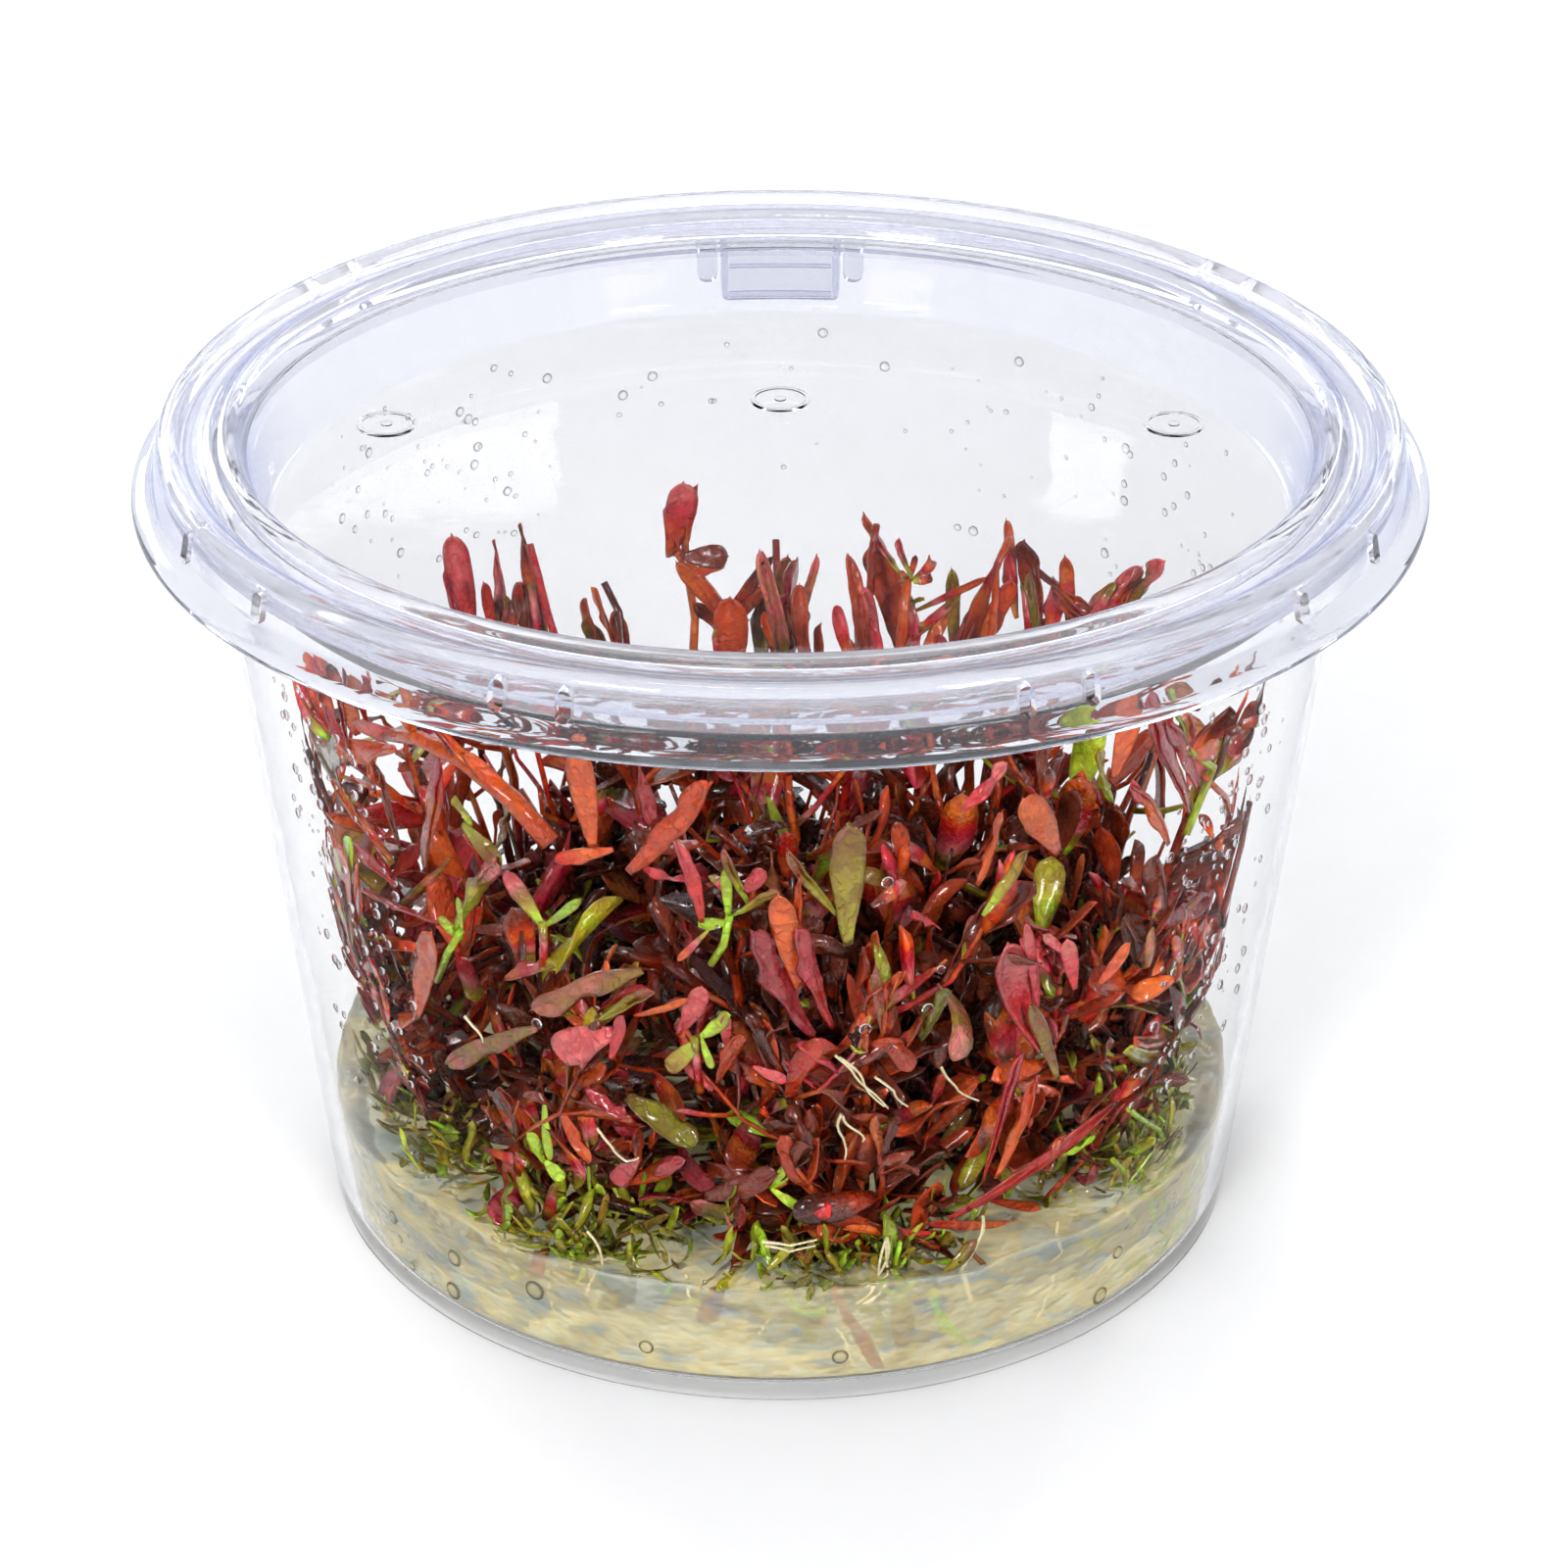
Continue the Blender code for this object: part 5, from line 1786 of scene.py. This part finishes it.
bunch = start_bunch()
for points in BLADE_PATHS:
    path = [above_foot(at_wall(x, y, BLADE_GAP)) for x, y in wander(rng, points)]
    add_tube(bunch, path, 0.30, 0.18, (0.97, 1.0), free=True)
finish_piece("green_blades", bunch, LEAF_FINISH)
print("roots:", len(ROOT_PATHS), "in sight, blades:", len(BLADE_PATHS))

# %% [markdown]
# ## Sunk leaves
# A few shed leaves are sunk in the gel at the front, where they show brown and green through it.
# They are placed by lines of sight, nearer to the wall than the leaves over the gel, and their
# limits let them go deep.

# %% Sunk leaves
IN_GEL = (-2.0, 9.0, 0.0)
SUNK_LEAVES = (
    ((846, 1308), (898, 1392), "strap", 20, (0.34, 0.30), 0.7),
    ((916, 1300), (922, 1366), "strap", 26, (0.97, 0.84), 0.5),
    ((736, 1310), (720, 1345), "spoon", 24, (0.10, 0.16), 0.7),
    ((612, 1330), (650, 1318), "round", 26, (0.92, 0.93), 0.5),
    ((560, 1268), (548, 1300), "spoon", 18, (0.10, 0.86), 0.6),
)
rng = random.Random(85)
bunch = start_bunch()
for foot, tip, kind, wide, tones, shade in SUNK_LEAVES:
    feet = at_wall(*foot, 2.2)
    tips = at_wall(*tip, 1.6)
    add_seen_leaf(bunch, rng, feet, tips, kind, wide, tones, shade, 0.3, IN_GEL)
finish_piece("sunk_leaves", bunch, LEAF_FINISH, sharp=0)
print("sunk leaves:", len(SUNK_LEAVES))

# %% [markdown]
# ## Drops and bubbles
# Moist air in the closed cup leaves small drops on the inside of its wall, and air is caught in
# the gel beside the wall. Both are small spheres flattened against the wall. The drops are strewn
# in patches, because the photograph shows most at the two sides and high on the back, and the
# bubbles are placed one by one. A drop's dark ring of bent light is too fine for this size of
# picture, so an attribute tells how far a point is from the middle, and the finish paints that
# ring as shade near the edge.

# %% Drops and bubbles
DROP_PATCHES = (
    (-64, -44, 26, 66, 120),
    (44, 66, 24, 66, 120),
    (-152, -118, 48, 66, 60),
    (112, 160, 46, 66, 60),
    (-40, 40, 30, 60, 10),
    (160, 200, 50, 66, 14),
)
DROP_SIZES = (0.16, 0.22, 0.30, 0.42, 0.55)
DROP_FLAT = 0.4
GEL_BUBBLES = (
    (465, 1315, 0.95),
    (547, 1315, 1.05),
    (660, 1373, 0.75),
    (857, 1383, 0.80),
    (1120, 1320, 0.95),
    (405, 1240, 0.70),
    (466, 1282, 0.90),
    (1138, 1276, 0.70),
    (424, 1290, 0.50),
    (412, 1262, 0.40),
)
BUBBLE_GAP = 0.30
BUBBLE_FLAT = 0.24


def start_blobs():
    """An empty bmesh with the attribute of the water finish."""
    bm = bmesh.new()
    bm.verts.layers.float.new("ring")
    return bm


def make_ball(segments):
    """A ball of radius 1, to be copied. `ring` tells how far a point is from its middle."""
    bm = start_blobs()
    bmesh.ops.create_uvsphere(bm, u_segments=segments, v_segments=segments * 3 // 4, radius=1.0)
    ring = bm.verts.layers.float["ring"]
    for vert in bm.verts:
        vert[ring] = math.hypot(vert.co.y, vert.co.z)
    return to_mesh("ball", bm)


def add_blob(bm, ball, spot, size, flat):
    """Joins a copy of a ball at a place in mm, flattened towards the axis of the cup."""
    turn = Matrix.Rotation(math.atan2(spot.y, spot.x), 4, "Z")
    shape = turn @ Matrix.Diagonal((flat * size * MM, size * MM, size * MM, 1.0))
    mesh = ball.copy()
    mesh.transform(Matrix.Translation(spot * MM) @ shape)
    drop_in(bm, mesh)


def make_water_finish(name, index, edge_tint_and_painted_shade):
    """Clear as water, with a painted dark edge that stands in for the ring of bent light a drop or a bubble
    shows.
    """
    made, tree, shader = new_material(name, IOR=index, Transmission_Weight=1.0)
    height, mask = uneven(tree, 300.0)
    ring = add_node(tree, "Attribute", attribute_name="ring")
    # Painted shade: a dark ring near the edge stands in for the ring of bent light.
    edge = bands(tree, ring.outputs["Fac"], ((0.50, 0.0), (0.86, 1.0), (1.0, 0.5)))
    clear = bands(tree, mask, ((0.4, (0.97, 0.98, 0.98)), (0.7, (1.0, 1.0, 1.0))))
    join(tree, blend(tree, "MIX", clear, edge_tint_and_painted_shade, edge), shader.inputs["Base Color"])
    join(tree, bands(tree, mask, ((0.4, 0.0), (0.8, 0.02))), shader.inputs["Roughness"])
    bump(tree, shader, height, 0.1, 0.0002)
    let_light_through(tree, shader, (1.0, 1.0, 1.0))
    return made


rng = random.Random(86)
drops = start_blobs()
small_ball = make_ball(8)
drop_count = 0
for turn_low, turn_high, low, high, count in DROP_PATCHES:
    for _ in range(count):
        angle = math.radians(rng.uniform(turn_low, turn_high))
        height = rng.uniform(low, high)
        out = inner_radius(height) - 0.05
        spot = Vector((math.sin(angle) * out, -math.cos(angle) * out, height))
        add_blob(drops, small_ball, spot, rng.choice(DROP_SIZES), DROP_FLAT)
        drop_count += 1
# The drops' grey edge is a painted ring of bent light.
drop_finish = make_water_finish("water drop", 1.20, (0.60, 0.60, 0.63))
finish_piece("drops", drops, drop_finish, sharp=0)

bubbles = start_blobs()
round_ball = make_ball(20)
for x, y, size in GEL_BUBBLES:
    add_blob(bubbles, round_ball, at_wall(x, y, BUBBLE_GAP), size, BUBBLE_FLAT)
# The bubbles' dark edge is a painted ring of bent light.
air_finish = make_water_finish("air in the gel", 1.12, (0.16, 0.14, 0.09))
finish_piece("gel_bubbles", bubbles, air_finish, sharp=0)
print(drop_count, "drops and", len(GEL_BUBBLES), "bubbles")

# %% [markdown]
# ## Floor
# The cup stands on a pale sheet, as in a studio. It lies a hair under the foot, so that the two
# don't touch, and it is part of the stage and not of the object.

# %% Floor
FLOOR_HALF = 3.0
FLOOR_UNDER = 0.05


def make_floor_finish():
    """Almost white and almost even."""
    made, tree, shader = new_material("pale floor", Roughness=0.55)
    height, mask = uneven(tree, 25.0)
    colours = ((0.3, (0.925, 0.925, 0.925)), (0.7, (0.935, 0.935, 0.935)))
    join(tree, bands(tree, mask, colours), shader.inputs["Base Color"])
    bump(tree, shader, height, 0.02, 0.001)
    return made


floor_bm = bmesh.new()
bmesh.ops.create_grid(floor_bm, x_segments=1, y_segments=1, size=FLOOR_HALF)
bmesh.ops.translate(floor_bm, verts=floor_bm.verts[:], vec=(0.0, 0.0, -FLOOR_UNDER * MM))
floor_mesh = to_mesh("floor", floor_bm)
floor_mesh.materials.append(make_floor_finish())
floor = bpy.data.objects.new("floor", floor_mesh)
home.objects.link(floor)
print("floor is", FLOOR_HALF * 2, "m wide")

# %% Finish
pieces = [piece for piece in home.objects if piece.type == "MESH"]
print(len(pieces), "meshes with", sum(len(piece.data.polygons) for piece in pieces), "faces in all")
